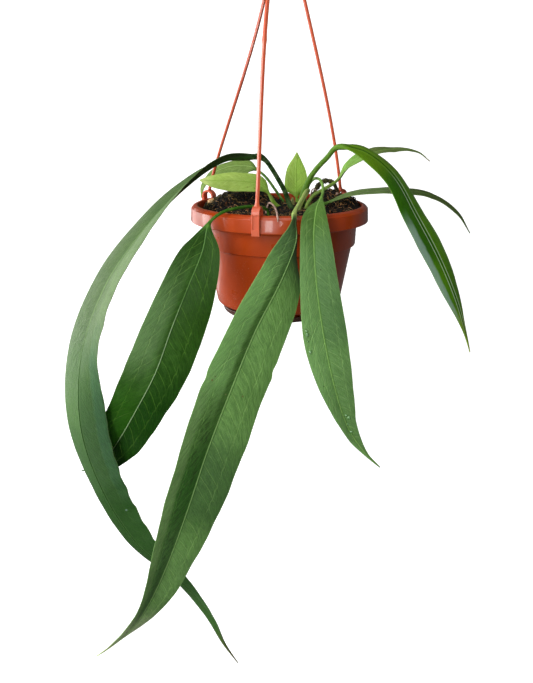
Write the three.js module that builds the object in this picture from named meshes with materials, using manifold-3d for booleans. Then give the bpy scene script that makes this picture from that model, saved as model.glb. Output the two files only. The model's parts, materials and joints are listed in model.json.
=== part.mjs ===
// Potted Anthurium vittariifolium: a plastic hanging pot with its hanger, drip tray, soil and ten leaves.
// Units are millimetres and +Z is up. The origin is where the hanger's hook bears on what holds it.
import * as THREE from 'three';
import { mergeVertices } from 'three/addons/utils/BufferGeometryUtils.js';
import Module from 'manifold-3d';

const wasm = await Module();
wasm.setup();

// Driving dimensions. Heights below are measured from the pot's rim, which hangs RIM_DROP under the origin.
const RIM_DROP = 250;
const GAP = 0.35;
const RIM_RADIUS = 70;
const COLLAR_RADIUS = 75;
const COLLAR_FLARE = 0.8;
const COLLAR_HEIGHT = 13.3;
const WALL = 1.8;
const BAND_RADIUS = 66.3;
const STEP_HEIGHT = 32.7;
const BODY_TOP_RADIUS = 63;
const BODY_BASE_RADIUS = 54.4;
const BODY_HEIGHT = 84;
const NECK_RADIUS = 46;
const NECK_DEPTH = 4.5;
const TRAY_RADIUS = 51;
const TRAY_TOP = 87;
const TRAY_HEIGHT = 92;
const POT_SIDES = 48;

const HUB_HEIGHT = 208.3;
const HUB_RADIUS = 8;
const CROOK_RADIUS = 11;
const HOOK_THICKNESS = 2.6;
const ROD_WIDTH = 3.2;
const ROD_DEPTH = 2.6;
const CLIP_WIDTH = 6.3;

const SOIL_LEVEL = -7;
const SOIL_LOWEST = -12;
const STEM_DEPTH = 9;
const HOLE_GAP = 0.45;
const BLADE_THICKNESS = 0.7;
const MIDRIB_THICKNESS = 1.5;

// Small general helpers
const radians = THREE.MathUtils.degToRad;

function facingOut(geometry) {
  const p = geometry.attributes.position;
  const index = geometry.index;
  let volume = 0;
  const [a, b, c] = [new THREE.Vector3(), new THREE.Vector3(), new THREE.Vector3()];
  for (let i = 0; i < index.count; i += 3) {
    a.fromBufferAttribute(p, index.getX(i));
    b.fromBufferAttribute(p, index.getX(i + 1));
    c.fromBufferAttribute(p, index.getX(i + 2));
    volume += a.dot(b.cross(c));
  }
  if (volume < 0) {
    for (let i = 0; i < index.count; i += 3) {
      const kept = index.getX(i + 1);
      index.setX(i + 1, index.getX(i + 2));
      index.setX(i + 2, kept);
    }
  }
  return geometry;
}

function closed(geometry) {
  const bare = geometry.clone();
  for (const name of Object.keys(bare.attributes)) {
    if (name !== 'position') bare.deleteAttribute(name);
  }
  return facingOut(mergeVertices(bare, 1e-3));
}

function toSolid(geometry) {
  const bare = closed(geometry);
  return new wasm.Manifold(new wasm.Mesh({
    numProp: 3,
    vertProperties: new Float32Array(bare.attributes.position.array),
    triVerts: new Uint32Array(bare.index.array),
  }));
}

function toGeometry(solid) {
  const mesh = solid.getMesh();
  const geometry = new THREE.BufferGeometry();
  geometry.setAttribute('position', new THREE.BufferAttribute(new Float32Array(mesh.vertProperties), 3));
  geometry.setIndex(new THREE.BufferAttribute(new Uint32Array(mesh.triVerts), 1));
  return geometry;
}

function fuse(geometries) {
  return toGeometry(geometries.map(toSolid).reduce((whole, piece) => whole.add(piece)));
}

function carve(geometry, cutters) {
  return toGeometry(cutters.map(toSolid).reduce((left, cutter) => left.subtract(cutter), toSolid(geometry)));
}

function turned(profile, sides) {
  const points = profile.map(([radius, height]) => new THREE.Vector2(radius, height));
  return closed(new THREE.LatheGeometry(points, sides).rotateX(Math.PI / 2));
}

function arc(centre, radius, from, to, steps) {
  return Array.from({ length: steps + 1 }, (_, i) => {
    const angle = radians(from + ((to - from) * i) / steps);
    return [centre[0] + radius * Math.cos(angle), centre[1] + radius * Math.sin(angle)];
  });
}

// A smooth curve through rows of numbers, measured along the length of their first three columns.
function curveThrough(rows) {
  const at = [0];
  for (let i = 1; i < rows.length; i += 1) {
    const step = new THREE.Vector3(...rows[i]).distanceTo(new THREE.Vector3(...rows[i - 1]));
    at.push(at[i - 1] + step);
  }
  const last = rows.length - 1;
  const slope = (i, k) => {
    const [before, after] = [Math.max(i - 1, 0), Math.min(i + 1, last)];
    return (rows[after][k] - rows[before][k]) / (at[after] - at[before]);
  };
  const value = (s) => {
    const i = Math.min(Math.max(at.findIndex((mark) => mark > s) - 1, s >= at[last] ? last - 1 : 0), last - 1);
    const h = at[i + 1] - at[i];
    const t = (s - at[i]) / h;
    return rows[i].map((from, k) => {
      const to = rows[i + 1][k];
      return (2 * t ** 3 - 3 * t ** 2 + 1) * from + (t ** 3 - 2 * t ** 2 + t) * h * slope(i, k)
        + (3 * t ** 2 - 2 * t ** 3) * to + (t ** 3 - t ** 2) * h * slope(i + 1, k);
    });
  };
  return { at, length: at[last], value };
}

// Joins rings of equal point count into one closed skin. Faces that lie over each other are split alike.
function skin(rings, mirrored = false) {
  const count = rings[0].length;
  const index = [];
  for (let i = 0; i + 1 < rings.length; i += 1) {
    for (let j = 0; j < count; j += 1) {
      const [a, b] = [i * count + j, i * count + ((j + 1) % count)];
      const [c, d] = [a + count, b + count];
      if (mirrored && j >= count / 2) index.push(a, b, d, a, d, c);
      else index.push(a, b, c, b, d, c);
    }
  }
  const end = (rings.length - 1) * count;
  for (let j = 1; j + 1 < count; j += 1) {
    index.push(0, j + 1, j);
    index.push(end, end + j, end + j + 1);
  }
  const geometry = new THREE.BufferGeometry();
  geometry.setAttribute('position', new THREE.Float32BufferAttribute(rings.flat().flatMap((v) => v.toArray()), 3));
  geometry.setIndex(index);
  return closed(geometry);
}

// The pot: a turned-down collar, an upper band, a step and a tapering body with a narrower neck under it.
function potGeometry() {
  const collarBase = COLLAR_RADIUS + COLLAR_FLARE;
  const floor = -BODY_HEIGHT + WALL;
  return turned([
    [0, -BODY_HEIGHT - NECK_DEPTH], [NECK_RADIUS, -BODY_HEIGHT - NECK_DEPTH], [NECK_RADIUS, -BODY_HEIGHT],
    ...arc([BODY_BASE_RADIUS - 1.6, -BODY_HEIGHT + 1.8], 1.8, -90, 0, 3),
    [BODY_TOP_RADIUS, -STEP_HEIGHT - 0.6], [BAND_RADIUS - 0.5, -STEP_HEIGHT],
    [BAND_RADIUS, -COLLAR_HEIGHT - 2], [71.6, -COLLAR_HEIGHT + 1.2], [71.8, -3.4], [73.4, -3.6],
    [collarBase - WALL, -COLLAR_HEIGHT], [collarBase - 0.4, -COLLAR_HEIGHT],
    [collarBase, -COLLAR_HEIGHT + 0.7], [COLLAR_RADIUS + 0.1, -3], [COLLAR_RADIUS - 0.5, -1.5],
    [COLLAR_RADIUS - 1.8, -0.5], [RIM_RADIUS + 1.4, 0], [RIM_RADIUS + 0.3, -0.2], [RIM_RADIUS - 0.2, -1],
    [RIM_RADIUS - 0.8, -COLLAR_HEIGHT + 2], [BAND_RADIUS - WALL, -COLLAR_HEIGHT],
    [BAND_RADIUS - 0.5 - WALL, -STEP_HEIGHT + 1.6], [BODY_TOP_RADIUS - WALL, -STEP_HEIGHT - 1.6],
    [BODY_BASE_RADIUS - WALL, floor], [0, floor],
  ], POT_SIDES);
}

// The drip tray: a shallow dish that snaps round the pot's neck.
function trayGeometry() {
  const lip = TRAY_RADIUS - WALL;
  const seat = -BODY_HEIGHT - NECK_DEPTH - GAP;
  return turned([
    [0, -TRAY_HEIGHT], [TRAY_RADIUS - 3, -TRAY_HEIGHT], [TRAY_RADIUS - 1, -TRAY_HEIGHT + 1.4],
    [TRAY_RADIUS, -TRAY_TOP - 0.4], [TRAY_RADIUS - 0.4, -TRAY_TOP], [lip, -TRAY_TOP],
    [lip - 1, seat], [0, seat],
  ], POT_SIDES);
}

// The hook: a hub that takes the three rods, a neck, and an open crook with its bearing at the origin.
function hookGeometry() {
  const bearing = RIM_DROP;
  const centre = bearing - CROOK_RADIUS;
  const path = [];
  const neckRise = [[0, HUB_HEIGHT + 1], [0, HUB_HEIGHT + 9], [2.5, centre - CROOK_RADIUS - 4]];
  for (const [x, z] of neckRise) path.push([x, 0, z]);
  const middle = CROOK_RADIUS + HOOK_THICKNESS / 2;
  for (const [x, z] of arc([0, centre], middle, -62, 205, 20)) path.push([x, 0, z]);
  const wire = curveThrough(path);
  const rings = Array.from({ length: 32 }, (_, i) => {
    const s = (wire.length * i) / 31;
    const [here, ahead] = [wire.value(Math.max(s - 0.5, 0)), wire.value(Math.min(s + 0.5, wire.length))];
    const along = new THREE.Vector3(...ahead).sub(new THREE.Vector3(...here)).normalize();
    const out = new THREE.Vector3(0, 1, 0).cross(along);
    const place = new THREE.Vector3(...wire.value(s));
    const half = (HOOK_THICKNESS / 2) * (i === 31 ? 0.7 : 1);
    return arc([0, 0], 1, 22.5, 337.5, 7).map(([u, v]) => place.clone()
      .addScaledVector(out, u * half * 1.08).add(new THREE.Vector3(0, v * half * 1.25, 0)));
  });
  const hub = turned([
    [0, HUB_HEIGHT], [HUB_RADIUS - 0.5, HUB_HEIGHT], [HUB_RADIUS, HUB_HEIGHT + 0.5],
    [HUB_RADIUS, HUB_HEIGHT + 2.5], [HUB_RADIUS - 0.8, HUB_HEIGHT + 3.2], [3, HUB_HEIGHT + 5],
    [2, HUB_HEIGHT + 8], [0, HUB_HEIGHT + 8],
  ], 24);
  return fuse([skin(rings), hub]);
}

// A rod bows out from the hub to its clip. Each row: bearing from the front, clip radius, bow, skew of the bow.
const RODS = {
  hanger_rod_front: { bearing: -14.3, radius: 73.5, bow: 14.9, skew: -4.7 },
  hanger_rod_left: { bearing: -118.9, radius: 72.5, bow: -6.8, skew: 3.6 },
  hanger_rod_right: { bearing: 127.7, radius: 72.5, bow: 3.9, skew: 1.9 },
};
const ROD_FOOT_HEIGHT = 6;
const ROD_TOP = { radius: 4.9, height: HUB_HEIGHT - 1.2 };
const ROD_STEPS = 14;
const CLIP_ARCH = { radius: 72.4, height: 1, outer: 6.1, inner: 4.4, innerLeg: -5 };

// Where a rod's centre is, at t from 0 at the clip to 1 in the hub, as [radius, height].
function rodPoint({ radius, bow, skew }, t) {
  const [foot, top] = [[radius, ROD_FOOT_HEIGHT], [ROD_TOP.radius, ROD_TOP.height]];
  const bulge = bow * 4 * t * (1 - t) + skew * 8 * t * (1 - t) * (1 - 2 * t);
  return [foot[0] + (top[0] - foot[0]) * t + bulge, foot[1] + (top[1] - foot[1]) * t];
}

// The clip straddles the rim: an outer leg with a foot under the collar, an arch, and a short inner leg.
function clipOutline({ radius, height, outer, inner, innerLeg }) {
  const foot = -COLLAR_HEIGHT - GAP;
  const footThickness = 1.6;
  const legOut = radius + outer;
  const legIn = COLLAR_RADIUS + COLLAR_FLARE + GAP;
  return [
    [legOut, foot - footThickness], [legOut, height], ...arc([radius, height], outer, 15, 165, 8),
    [radius - outer, innerLeg], [radius - inner, innerLeg], ...arc([radius, height], inner, 180, 40, 6),
    [legIn, -2.5], [legIn, foot], [legIn - 2.4, foot], [legIn - 2.2, foot - footThickness],
  ];
}

// The slot that a clip's inner leg stands in, where the soil reaches up to it.
function slotOutline({ radius, outer, inner, innerLeg }) {
  const [left, right] = [radius - outer - GAP, radius - inner + GAP];
  const above = 12;
  return [[left, innerLeg - GAP], [right, innerLeg - GAP], [right, above], [left, above]];
}

// An outline of radius and height, as a slab of the given width that stands across the rim at a rod's bearing.
function rimSlab(rod, outline, width) {
  const shape = new THREE.Shape(outline.map(([r, z]) => new THREE.Vector2(r, z)));
  const slab = new THREE.ExtrudeGeometry(shape, { depth: width, bevelEnabled: false });
  slab.translate(0, 0, -width / 2).rotateX(Math.PI / 2);
  return slab.rotateZ(radians(rod.bearing - 90));
}

function rodGeometry(rod) {
  const bearing = radians(rod.bearing);
  const out = new THREE.Vector3(Math.sin(bearing), -Math.cos(bearing), 0);
  const side = new THREE.Vector3(Math.cos(bearing), Math.sin(bearing), 0);
  const up = new THREE.Vector3(0, 0, 1);
  const rings = Array.from({ length: ROD_STEPS + 1 }, (_, i) => {
    const t = i / ROD_STEPS;
    const [radius, height] = rodPoint(rod, t);
    const [below, above] = [rodPoint(rod, Math.max(t - 0.02, 0)), rodPoint(rod, Math.min(t + 0.02, 1))];
    const along = new THREE.Vector2(above[0] - below[0], above[1] - below[1]).normalize();
    const face = out.clone().multiplyScalar(along.y).addScaledVector(up, -along.x);
    const flare = i === 0 ? 1.8 : 1;
    const place = out.clone().multiplyScalar(radius).addScaledVector(up, height);
    const corners = [[0, 1], [-1, 0.1], [-0.6, -0.9], [0.6, -0.9], [1, 0.1]];
    return corners.map(([u, v]) => place.clone()
      .addScaledVector(side, (u * ROD_WIDTH * flare) / 2).addScaledVector(face, (v * ROD_DEPTH) / 2));
  });
  return fuse([skin(rings), rimSlab(rod, clipOutline(CLIP_ARCH), CLIP_WIDTH)]);
}

// The leaves. Petiole rows: x, y, z, radius. Blade rows: x, y, z, half width, roll and fold in degrees.
// side is the bearing of the blade's own width before the roll; waves are height, count and phase.
const LEAVES = {
  leaf_long_left: {
    side: -90,
    colour: 0x5f8a58,
    waves: [1.2, 9, 0.3],
    petiole: [
      [11.5, -3, -7, 2.4], [8, -4, 0.5, 2.2], [4.5, -6, 10, 2], [-2.5, -9, 22.5, 1.9], [-10, -13, 34, 1.9],
      [-14.5, -16, 38, 2],
    ],
    blade: [
      [-21, -19, 39, 2.5, 55, 7], [-46.5, -29, 35.5, 9, 9, 19], [-75, -43.5, 17, 14.5, -11, 16],
      [-105, -60, -12.5, 18.5, -22, 9], [-134, -77, -52, 19.5, -33, 5], [-153.5, -92, -102.5, 21.5, -44, -1],
      [-158, -102, -160, 20.5, -70, -28], [-145.5, -105.5, -218, 18, -73, -32],
      [-120.5, -109, -268, 15.5, -69, -20], [-85, -112, -305.5, 9.5, -61, -6],
      [-60, -113, -343, 8, -50, 17], [-48.5, -112, -378, 3, -47, 25], [-37.5, -110, -403.5, 0.4, -54, 18],
    ],
  },
  leaf_broad_left: {
    side: -45,
    colour: 0x335f27,
    waves: [0.9, 7, 0.1],
    petiole: [
      [-10, -33, -2, 1.2], [-14.5, -38, 1.5, 1.2], [-21.5, -43, 3, 1.2], [-28, -49, 3.5, 1.2],
      [-35, -57, 3.5, 1.2], [-42.5, -64.5, 2.5, 1.2], [-49.5, -69.5, -1, 1.2],
    ],
    blade: [
      [-54.5, -72, -6.5, 2, -40, 13], [-59, -79, -25, 15, -46, 21], [-70.5, -83.5, -51, 22, -61, 22],
      [-84.5, -86, -83.5, 25.5, -68, 16], [-99, -86, -120, 25.5, -66, 6], [-117.5, -84.5, -154.5, 22.5, -61, 7],
      [-135.5, -82, -185, 19, -53, 12], [-150, -80, -205.5, 10.5, -49, 10], [-162, -78.5, -213.5, 1.6, -48, 8],
      [-171, -78, -217, 0.4, -48, 6],
    ],
  },
  leaf_broad_front: {
    side: 0,
    colour: 0x4d7a45,
    waves: [0.8, 8, 0.6],
    petiole: [
      [15.5, -14, -6, 2], [17.5, -13.5, 1, 1.8], [21.5, -15, 8.5, 1.6], [23.2, -21, 12.8, 1.5],
      [20.5, -31, 13, 1.5], [16.5, -48, 9.5, 1.5], [12, -65, 5.5, 1.6],
    ],
    blade: [
      [9, -80, 1.5, 2.5, -72, 11], [9.5, -98, -13.5, 11, -59, -25], [-1, -115, -37.5, 18.5, -36, 1],
      [-19, -128.5, -70, 23, -28, 15], [-36, -139.5, -109.5, 24.5, -24, 12], [-53.5, -147.5, -154, 25.5, -24, 21],
      [-69, -151, -200.5, 23.5, -24, 19], [-85, -151, -246, 19, -26, 20], [-102, -148.5, -287.5, 14.5, -31, 26],
      [-120, -145, -321.5, 9.5, -38, 8], [-140, -141, -346.5, 3, -37, -5], [-156.5, -138, -363, 0.4, -30, 6],
    ],
  },
  leaf_front_right: {
    side: 0,
    colour: 0x4f8046,
    waves: [0.7, 6, 0.4],
    petiole: [
      [21.5, 11, -6, 1.4], [22.5, 10, 4, 1.3], [25.5, 8, 14.5, 1.2], [29, 4, 19.5, 1.2], [32.2, -4, 20.5, 1.15],
      [33.8, -16, 19.5, 1.15], [34, -30, 16.5, 1.15], [33, -42, 13.5, 1.15],
    ],
    blade: [
      [31, -52, 10.5, 1.5, 26, 7], [26, -70.5, 5, 6.5, 8, 10], [22.5, -93, -12.5, 12.5, -15, 24],
      [25, -103.5, -46.5, 16, -17, 22], [31.5, -107.5, -85.5, 17.5, -18, 14], [40.5, -109, -123.5, 14.5, -25, 21],
      [52, -108, -157.5, 8, -33, 30], [67.5, -105.5, -182, 2, -24, 20], [81, -103, -197, 0.4, -6, 8],
    ],
  },
  leaf_arch_right: {
    side: 90,
    colour: 0x467a1c,
    waves: [0.5, 6, 0.2],
    petiole: [
      [18, 4, -4, 3.3], [19.5, 2, 4, 3.1], [21.5, 0, 11, 2.9], [25.5, -3, 21, 2.8], [31.5, -7, 30, 2.7],
      [39, -11, 38.5, 2.7], [44, -14, 45, 2.7],
    ],
    blade: [
      [49.5, -17, 46.5, 3, 22, 12], [68, -24.5, 42.5, 10, 28, -7], [89, -34.5, 25.5, 14, 31, -7],
      [107, -44, -3.5, 15.5, 38, -8], [125.8, -51.5, -35.5, 14.8, 43, -7], [141.5, -56, -67.5, 10.5, 42, -9],
      [152, -57.5, -95.5, 3.5, 34, -1], [158.5, -58, -114.5, 0.4, 35, 10],
    ],
  },
  leaf_back_right: {
    side: 90,
    colour: 0x7fb865,
    waves: [0.4, 4, 0.2],
    petiole: [
      [22.5, -3, -5.5, 1.7], [25, -1, 1, 1.6], [29.5, 3, 6, 1.5], [38.5, 9, 10.5, 1.5], [46, 14, 14, 1.5],
    ],
    blade: [
      [51.5, 19, 17.5, 1.5, -5, 15], [62.5, 26.5, 28.5, 7.5, 14, 10], [82.5, 39.5, 38, 10.5, 14, 8],
      [107.5, 54, 41, 8.5, 10, 2], [131, 65, 38, 4, 7, 3], [144, 70, 29.5, 0.4, 8, 7],
    ],
  },
  leaf_strap_right: {
    side: 90,
    colour: 0x5b7c4c,
    waves: [0.4, 5, 0.2],
    petiole: [[26.5, -9, -5.5, 1.7], [31.5, -9, -1.5, 1.6], [36.5, -8.5, 0, 1.5]],
    blade: [
      [40, -8, 1, 1.5, 10, 6], [60, -8.5, 8.5, 7, 7, 2], [92.5, -4, 11.5, 11, 7, -4], [128.5, 3, 6, 10, 9, 2],
      [156, 7.5, -10.5, 4.5, 20, 9], [169.5, 9, -27.5, 0.4, 25, 1],
    ],
  },
  leaf_back_left: {
    side: -90,
    colour: 0x6f9160,
    waves: [0.3, 3, 0.2],
    petiole: [
      [10.5, 12, -9.5, 1.5], [6, 14, -4, 1.4], [1, 17, 3, 1.3], [-4, 21, 9.5, 1.2], [-9, 25, 16, 1.2],
      [-14, 29, 21, 1.2],
    ],
    blade: [
      [-20.5, 34, 25, 1.5, -60, -4], [-29.5, 37.5, 27.5, 8, -53, -14], [-44.5, 43, 26.5, 7, -48, -11],
      [-60, 48, 20, 4.5, -47, 2], [-70, 47.5, 8.5, 2.5, -49, 4], [-71.5, 46, -1.5, 0.4, -50, 1],
    ],
  },
  leaf_young_left: {
    side: -90,
    colour: 0x9cc06a,
    waves: [0.3, 3, 0.2],
    petiole: [[6, 2, -8, 1.9], [2, 1, -5, 1.8], [-3, 0, -1.5, 1.7], [-7, -1, 4, 1.6]],
    blade: [
      [-10, -2, 9.5, 1.5, -58, 12], [-16.5, -3, 15.5, 7, -58, 8], [-30, -4, 18, 8.5, -57, -5],
      [-45, -3.5, 18.5, 8, -59, -8], [-59, -2, 18.5, 4.5, -61, -4], [-67.5, -1, 19, 0.4, -64, 4],
    ],
  },
  leaf_young_upright: {
    side: 180,
    colour: 0x8cb450,
    waves: [0.2, 2, 0.2],
    petiole: [[18, 18, -7.5, 1.8], [17, 18, -3.5, 1.7], [16, 19, 0.5, 1.6]],
    blade: [
      [15.5, 20, 3.5, 1.5, -4, 7], [15, 21.5, 8.5, 9, -2, 7], [15, 23.5, 17, 10, 2, 8],
      [15, 25.5, 26.5, 8, 3, 8], [15.5, 27, 34.5, 3.5, 2, 7], [15.5, 27, 40, 0.4, 0, 6],
    ],
  },
};
const STEM_SPACING = 8;
const RING_SPACING = 13;
const ACROSS = [-1, -0.5, 0, 0.5, 1];

// The directions across the blade and out of its upper face where the leaf runs along the given tangent.
function bladeAxes(tangent, side, roll) {
  const bearing = new THREE.Vector3(Math.cos(radians(side)), Math.sin(radians(side)), 0);
  const level = bearing.addScaledVector(tangent, -bearing.dot(tangent)).normalize();
  const face = tangent.clone().cross(level);
  const turn = radians(roll);
  const across = level.clone().multiplyScalar(Math.cos(turn)).addScaledVector(face, Math.sin(turn));
  const normal = face.multiplyScalar(Math.cos(turn)).addScaledVector(level, -Math.sin(turn));
  return [across, normal];
}

// One leaf as a closed skin: a round petiole that flattens into a thin folded and waved blade.
// With grow it is only the petiole, thicker by that much, for the hole it stands in.
function leafGeometry({ side, waves, petiole, blade }, grow = 0) {
  const stem = petiole.map(([x, y, z, r]) => [x, y, z, r + grow, blade[0][4], 0]);
  const root = [stem[0][0], stem[0][1], stem[0][2] - STEM_DEPTH - grow, ...stem[0].slice(3)];
  const line = curveThrough([root, ...stem, ...blade]);
  const bladeStart = line.at[stem.length + 1];
  const bladeLength = line.length - bladeStart;
  const stemSteps = Math.ceil(bladeStart / STEM_SPACING);
  const marks = Array.from({ length: stemSteps }, (_, i) => (bladeStart * i) / stemSteps);
  const bladeSteps = grow > 0 ? 1 : Math.ceil(bladeLength / RING_SPACING) + 5;
  for (let i = 0; i <= bladeSteps - (grow > 0 ? 1 : 0); i += 1) {
    const u = i / bladeSteps;
    marks.push(bladeStart + bladeLength * (0.5 * u + 0.25 * (1 - Math.cos(Math.PI * u))));
  }
  const rings = marks.map((s) => {
    const [x, y, z, wide, roll, fold] = line.value(s);
    const back = line.value(Math.max(s - 1.5, 0));
    const ahead = line.value(Math.min(s + 1.5, line.length));
    const tangent = new THREE.Vector3(...ahead).sub(new THREE.Vector3(...back)).normalize();
    const [across, normal] = bladeAxes(tangent, side, roll);
    const u = Math.max(s - bladeStart, 0) / bladeLength;
    const flat = grow > 0 ? 0 : THREE.MathUtils.smoothstep(s, bladeStart - 4, bladeStart + 9);
    const lift = Math.sin(radians(fold));
    const reach = Math.cos(radians(fold));
    const place = new THREE.Vector3(x, y, z);
    const point = (k, top) => {
      const angle = radians(top ? 162 - 36 * k : 198 + 36 * k);
      const round = [Math.cos(angle) * wide, Math.sin(angle) * wide];
      const a = ACROSS[k];
      const wave = waves[0] * Math.abs(a) * Math.min(wide / 8, 1)
        * Math.sin(2 * Math.PI * (waves[1] * u + waves[2] + (a < 0 ? 0.37 : 0)));
      const thick = (a === 0 ? MIDRIB_THICKNESS * (1 - 0.5 * u) : BLADE_THICKNESS) / 2;
      const half = Math.max(wide, 0.4);
      const leaf = [a * half * reach, Math.abs(a) * half * lift + wave + (top ? thick : -thick)];
      return place.clone()
        .addScaledVector(across, round[0] + (leaf[0] - round[0]) * flat)
        .addScaledVector(normal, round[1] + (leaf[1] - round[1]) * flat);
    };
    return [...ACROSS.map((_, k) => point(k, true)), ...ACROSS.map((_, k) => point(4 - k, false))];
  });
  return skin(rings, true);
}

// The soil's surface: a level bed with mounds and hollows. Each row: x, y, height and spread.
const MOUNDS = [
  [-41, 14, 15, 21], [-14, 20, 12, 13], [43, 24, 21, 17], [60, 4, 9, 16], [7, 8, 4, 13], [-62, -6, -6, 16],
  [0, 52, -3, 18], [30, -20, 2, 16], [-30, -40, 2, 18],
];
const SOIL_SECTORS = 44;
const SOIL_RINGS = 11;

function soilHeight(x, y) {
  const mounds = MOUNDS.reduce((sum, [cx, cy, height, spread]) => {
    const away = ((x - cx) ** 2 + (y - cy) ** 2) / spread ** 2;
    return sum + height * Math.exp(-away);
  }, 0);
  const lumps = 0.9 * Math.sin(x * 0.42 + 1.3) * Math.cos(y * 0.37) + 0.7 * Math.sin(x * 0.21 - y * 0.55);
  return Math.max(SOIL_LEVEL + mounds + lumps, SOIL_LOWEST);
}

// The soil fills the pot to its surface, and every stem and root stands in a hole of its own.
function soilGeometry(cutters) {
  const wall = [
    [BODY_BASE_RADIUS - WALL - GAP - 0.3, -BODY_HEIGHT + WALL + GAP],
    [BODY_TOP_RADIUS - WALL - GAP - 0.2, -STEP_HEIGHT - 2], [BAND_RADIUS - 1 - WALL - GAP, -STEP_HEIGHT + 2.2],
    [BAND_RADIUS - WALL - GAP - 0.2, -COLLAR_HEIGHT + 0.8],
  ];
  const edge = RIM_RADIUS - 0.9 - GAP - 0.2;
  const [edgeLowest, edgeHighest] = [SOIL_LOWEST + 2, -1.2];
  const rings = wall.map(([radius, height]) => ringOf(SOIL_SECTORS, (c, s) => [radius * c, radius * s, height]));
  for (let i = 0; i < SOIL_RINGS; i += 1) {
    const radius = edge * (1 - i / (SOIL_RINGS - 0.5));
    rings.push(ringOf(SOIL_SECTORS, (c, s) => {
      const [x, y] = [radius * c, radius * s];
      const height = soilHeight(x, y);
      return [x, y, i === 0 ? THREE.MathUtils.clamp(height, edgeLowest, edgeHighest) : height];
    }));
  }
  return carve(skin(rings), cutters);
}

function ringOf(count, place) {
  return Array.from({ length: count }, (_, i) => {
    const angle = (2 * Math.PI * i) / count;
    return new THREE.Vector3(...place(Math.cos(angle), Math.sin(angle)));
  });
}

// A round root or stem through rows of x, y, z, radius. With grow it is the hole that it stands in.
function rootGeometry(rows, sides, spacing, grow = 0) {
  const last = rows.length - 1;
  const line = curveThrough(rows.map(([x, y, z, r], i) => [x, y, z - (i % last === 0 ? grow : 0), r + grow]));
  const steps = Math.ceil(line.length / spacing);
  const upright = new THREE.Vector3(0, 0, 1);
  let level = new THREE.Vector3(1, 0, 0);
  const rings = Array.from({ length: steps + 1 }, (_, i) => {
    const s = (line.length * i) / steps;
    const [x, y, z, radius] = line.value(s);
    const ahead = new THREE.Vector3(...line.value(Math.min(s + 0.8, line.length)));
    const tangent = ahead.sub(new THREE.Vector3(...line.value(Math.max(s - 0.8, 0)))).normalize();
    level = level.clone().addScaledVector(tangent, -level.dot(tangent)).normalize();
    if (level.lengthSq() < 0.5) level = upright.clone().cross(tangent).normalize();
    const other = tangent.clone().cross(level);
    return ringOf(sides, (c, si) => new THREE.Vector3(x, y, z)
      .addScaledVector(level, c * radius).addScaledVector(other, si * radius).toArray());
  });
  return skin(rings);
}

const AERIAL_ROOT = [
  [-12, -18, -15, 0.9], [-11.5, -19, -7, 0.9], [-10.5, -22, -1, 0.9], [-9, -27, 3.5, 0.9], [-6, -40, 4, 0.9],
  [-4.2, -57, 3.2, 0.9], [-3.3, -71.5, 2.2, 0.9], [-2.9, -77.4, -0.8, 0.8], [-2.8, -77.6, -3.4, 0.5],
];
const MOSS_ROOT = [
  [30, 24, -8, 2.2], [30, 24, 2, 2.2], [32, 26, 9, 2.3], [36.5, 28, 14, 2.4], [41, 29, 16.8, 2.4],
  [46, 29, 17.4, 2.3], [50, 28, 14.5, 2.2], [52.8, 27, 9.5, 2.1], [53.5, 26, 3, 2], [53.5, 26, -5, 2],
];
const CROWN_STUB = [[10.8, 4, -17, 2.7], [10.8, 4, -7, 2.7], [11.1, 4.4, -1, 2.1], [11.6, 4.8, 4, 0.6]];
const CROWN_SHEATHS = [
  [[11.8, 5.6, -10, 1.4], [12.3, 6.4, -3, 1.2], [12.6, 7.6, 2.5, 0.4]],
  [[10, 4.6, -10, 1.3], [9, 5, -4, 1.1], [8.4, 5.6, 0, 0.4]],
];

// The assembly
const part = new THREE.Group();
const fromRim = new THREE.Group();
fromRim.position.z = -RIM_DROP;
part.add(fromRim);

const TERRACOTTA = { color: 0xa8482a, roughness: 0.36, metalness: 0 };

function place(name, geometry, look) {
  const mesh = new THREE.Mesh(geometry, new THREE.MeshStandardMaterial(look));
  mesh.name = name;
  fromRim.add(mesh);
}

place('pot', potGeometry(), TERRACOTTA);
place('drip_tray', trayGeometry(), { color: 0x6e3626, roughness: 0.45, metalness: 0 });
place('hanger_hook', hookGeometry(), TERRACOTTA);
for (const [name, rod] of Object.entries(RODS)) place(name, rodGeometry(rod), TERRACOTTA);

const holes = [
  ...Object.values(LEAVES).map((leaf) => leafGeometry(leaf, HOLE_GAP)),
  rootGeometry(AERIAL_ROOT, 8, 5, HOLE_GAP),
  rootGeometry(MOSS_ROOT, 10, 5, HOLE_GAP),
  rootGeometry(CROWN_STUB, 10, 4, HOLE_GAP),
  ...CROWN_SHEATHS.map((rows) => rootGeometry(rows, 8, 3, HOLE_GAP)),
  ...Object.values(RODS).map((rod) => rimSlab(rod, slotOutline(CLIP_ARCH), CLIP_WIDTH + 2 * GAP)),
];
place('soil', soilGeometry(holes), { color: 0x2a1c12, roughness: 0.95, metalness: 0 });

for (const [name, leaf] of Object.entries(LEAVES)) {
  place(name, leafGeometry(leaf), { color: leaf.colour, roughness: 0.42, metalness: 0 });
}

const crown = [rootGeometry(CROWN_STUB, 10, 4), ...CROWN_SHEATHS.map((rows) => rootGeometry(rows, 8, 3))];
place('crown', fuse(crown), { color: 0x7d8a45, roughness: 0.6, metalness: 0 });
place('aerial_root', rootGeometry(AERIAL_ROOT, 8, 5), { color: 0xc8a99a, roughness: 0.6, metalness: 0 });
place('moss_root', rootGeometry(MOSS_ROOT, 10, 5), { color: 0x3a2f18, roughness: 0.95, metalness: 0 });

export default part;
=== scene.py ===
"""Looks of the potted Anthurium vittariifolium: its hanging pot, hanger, soil, roots and strap leaves.

Shapes are worked out in millimetres from the pot's rim, as the part's own source does, and placed in metres
in the part's frame, whose origin is where the hanger's hook bears.
"""

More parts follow.
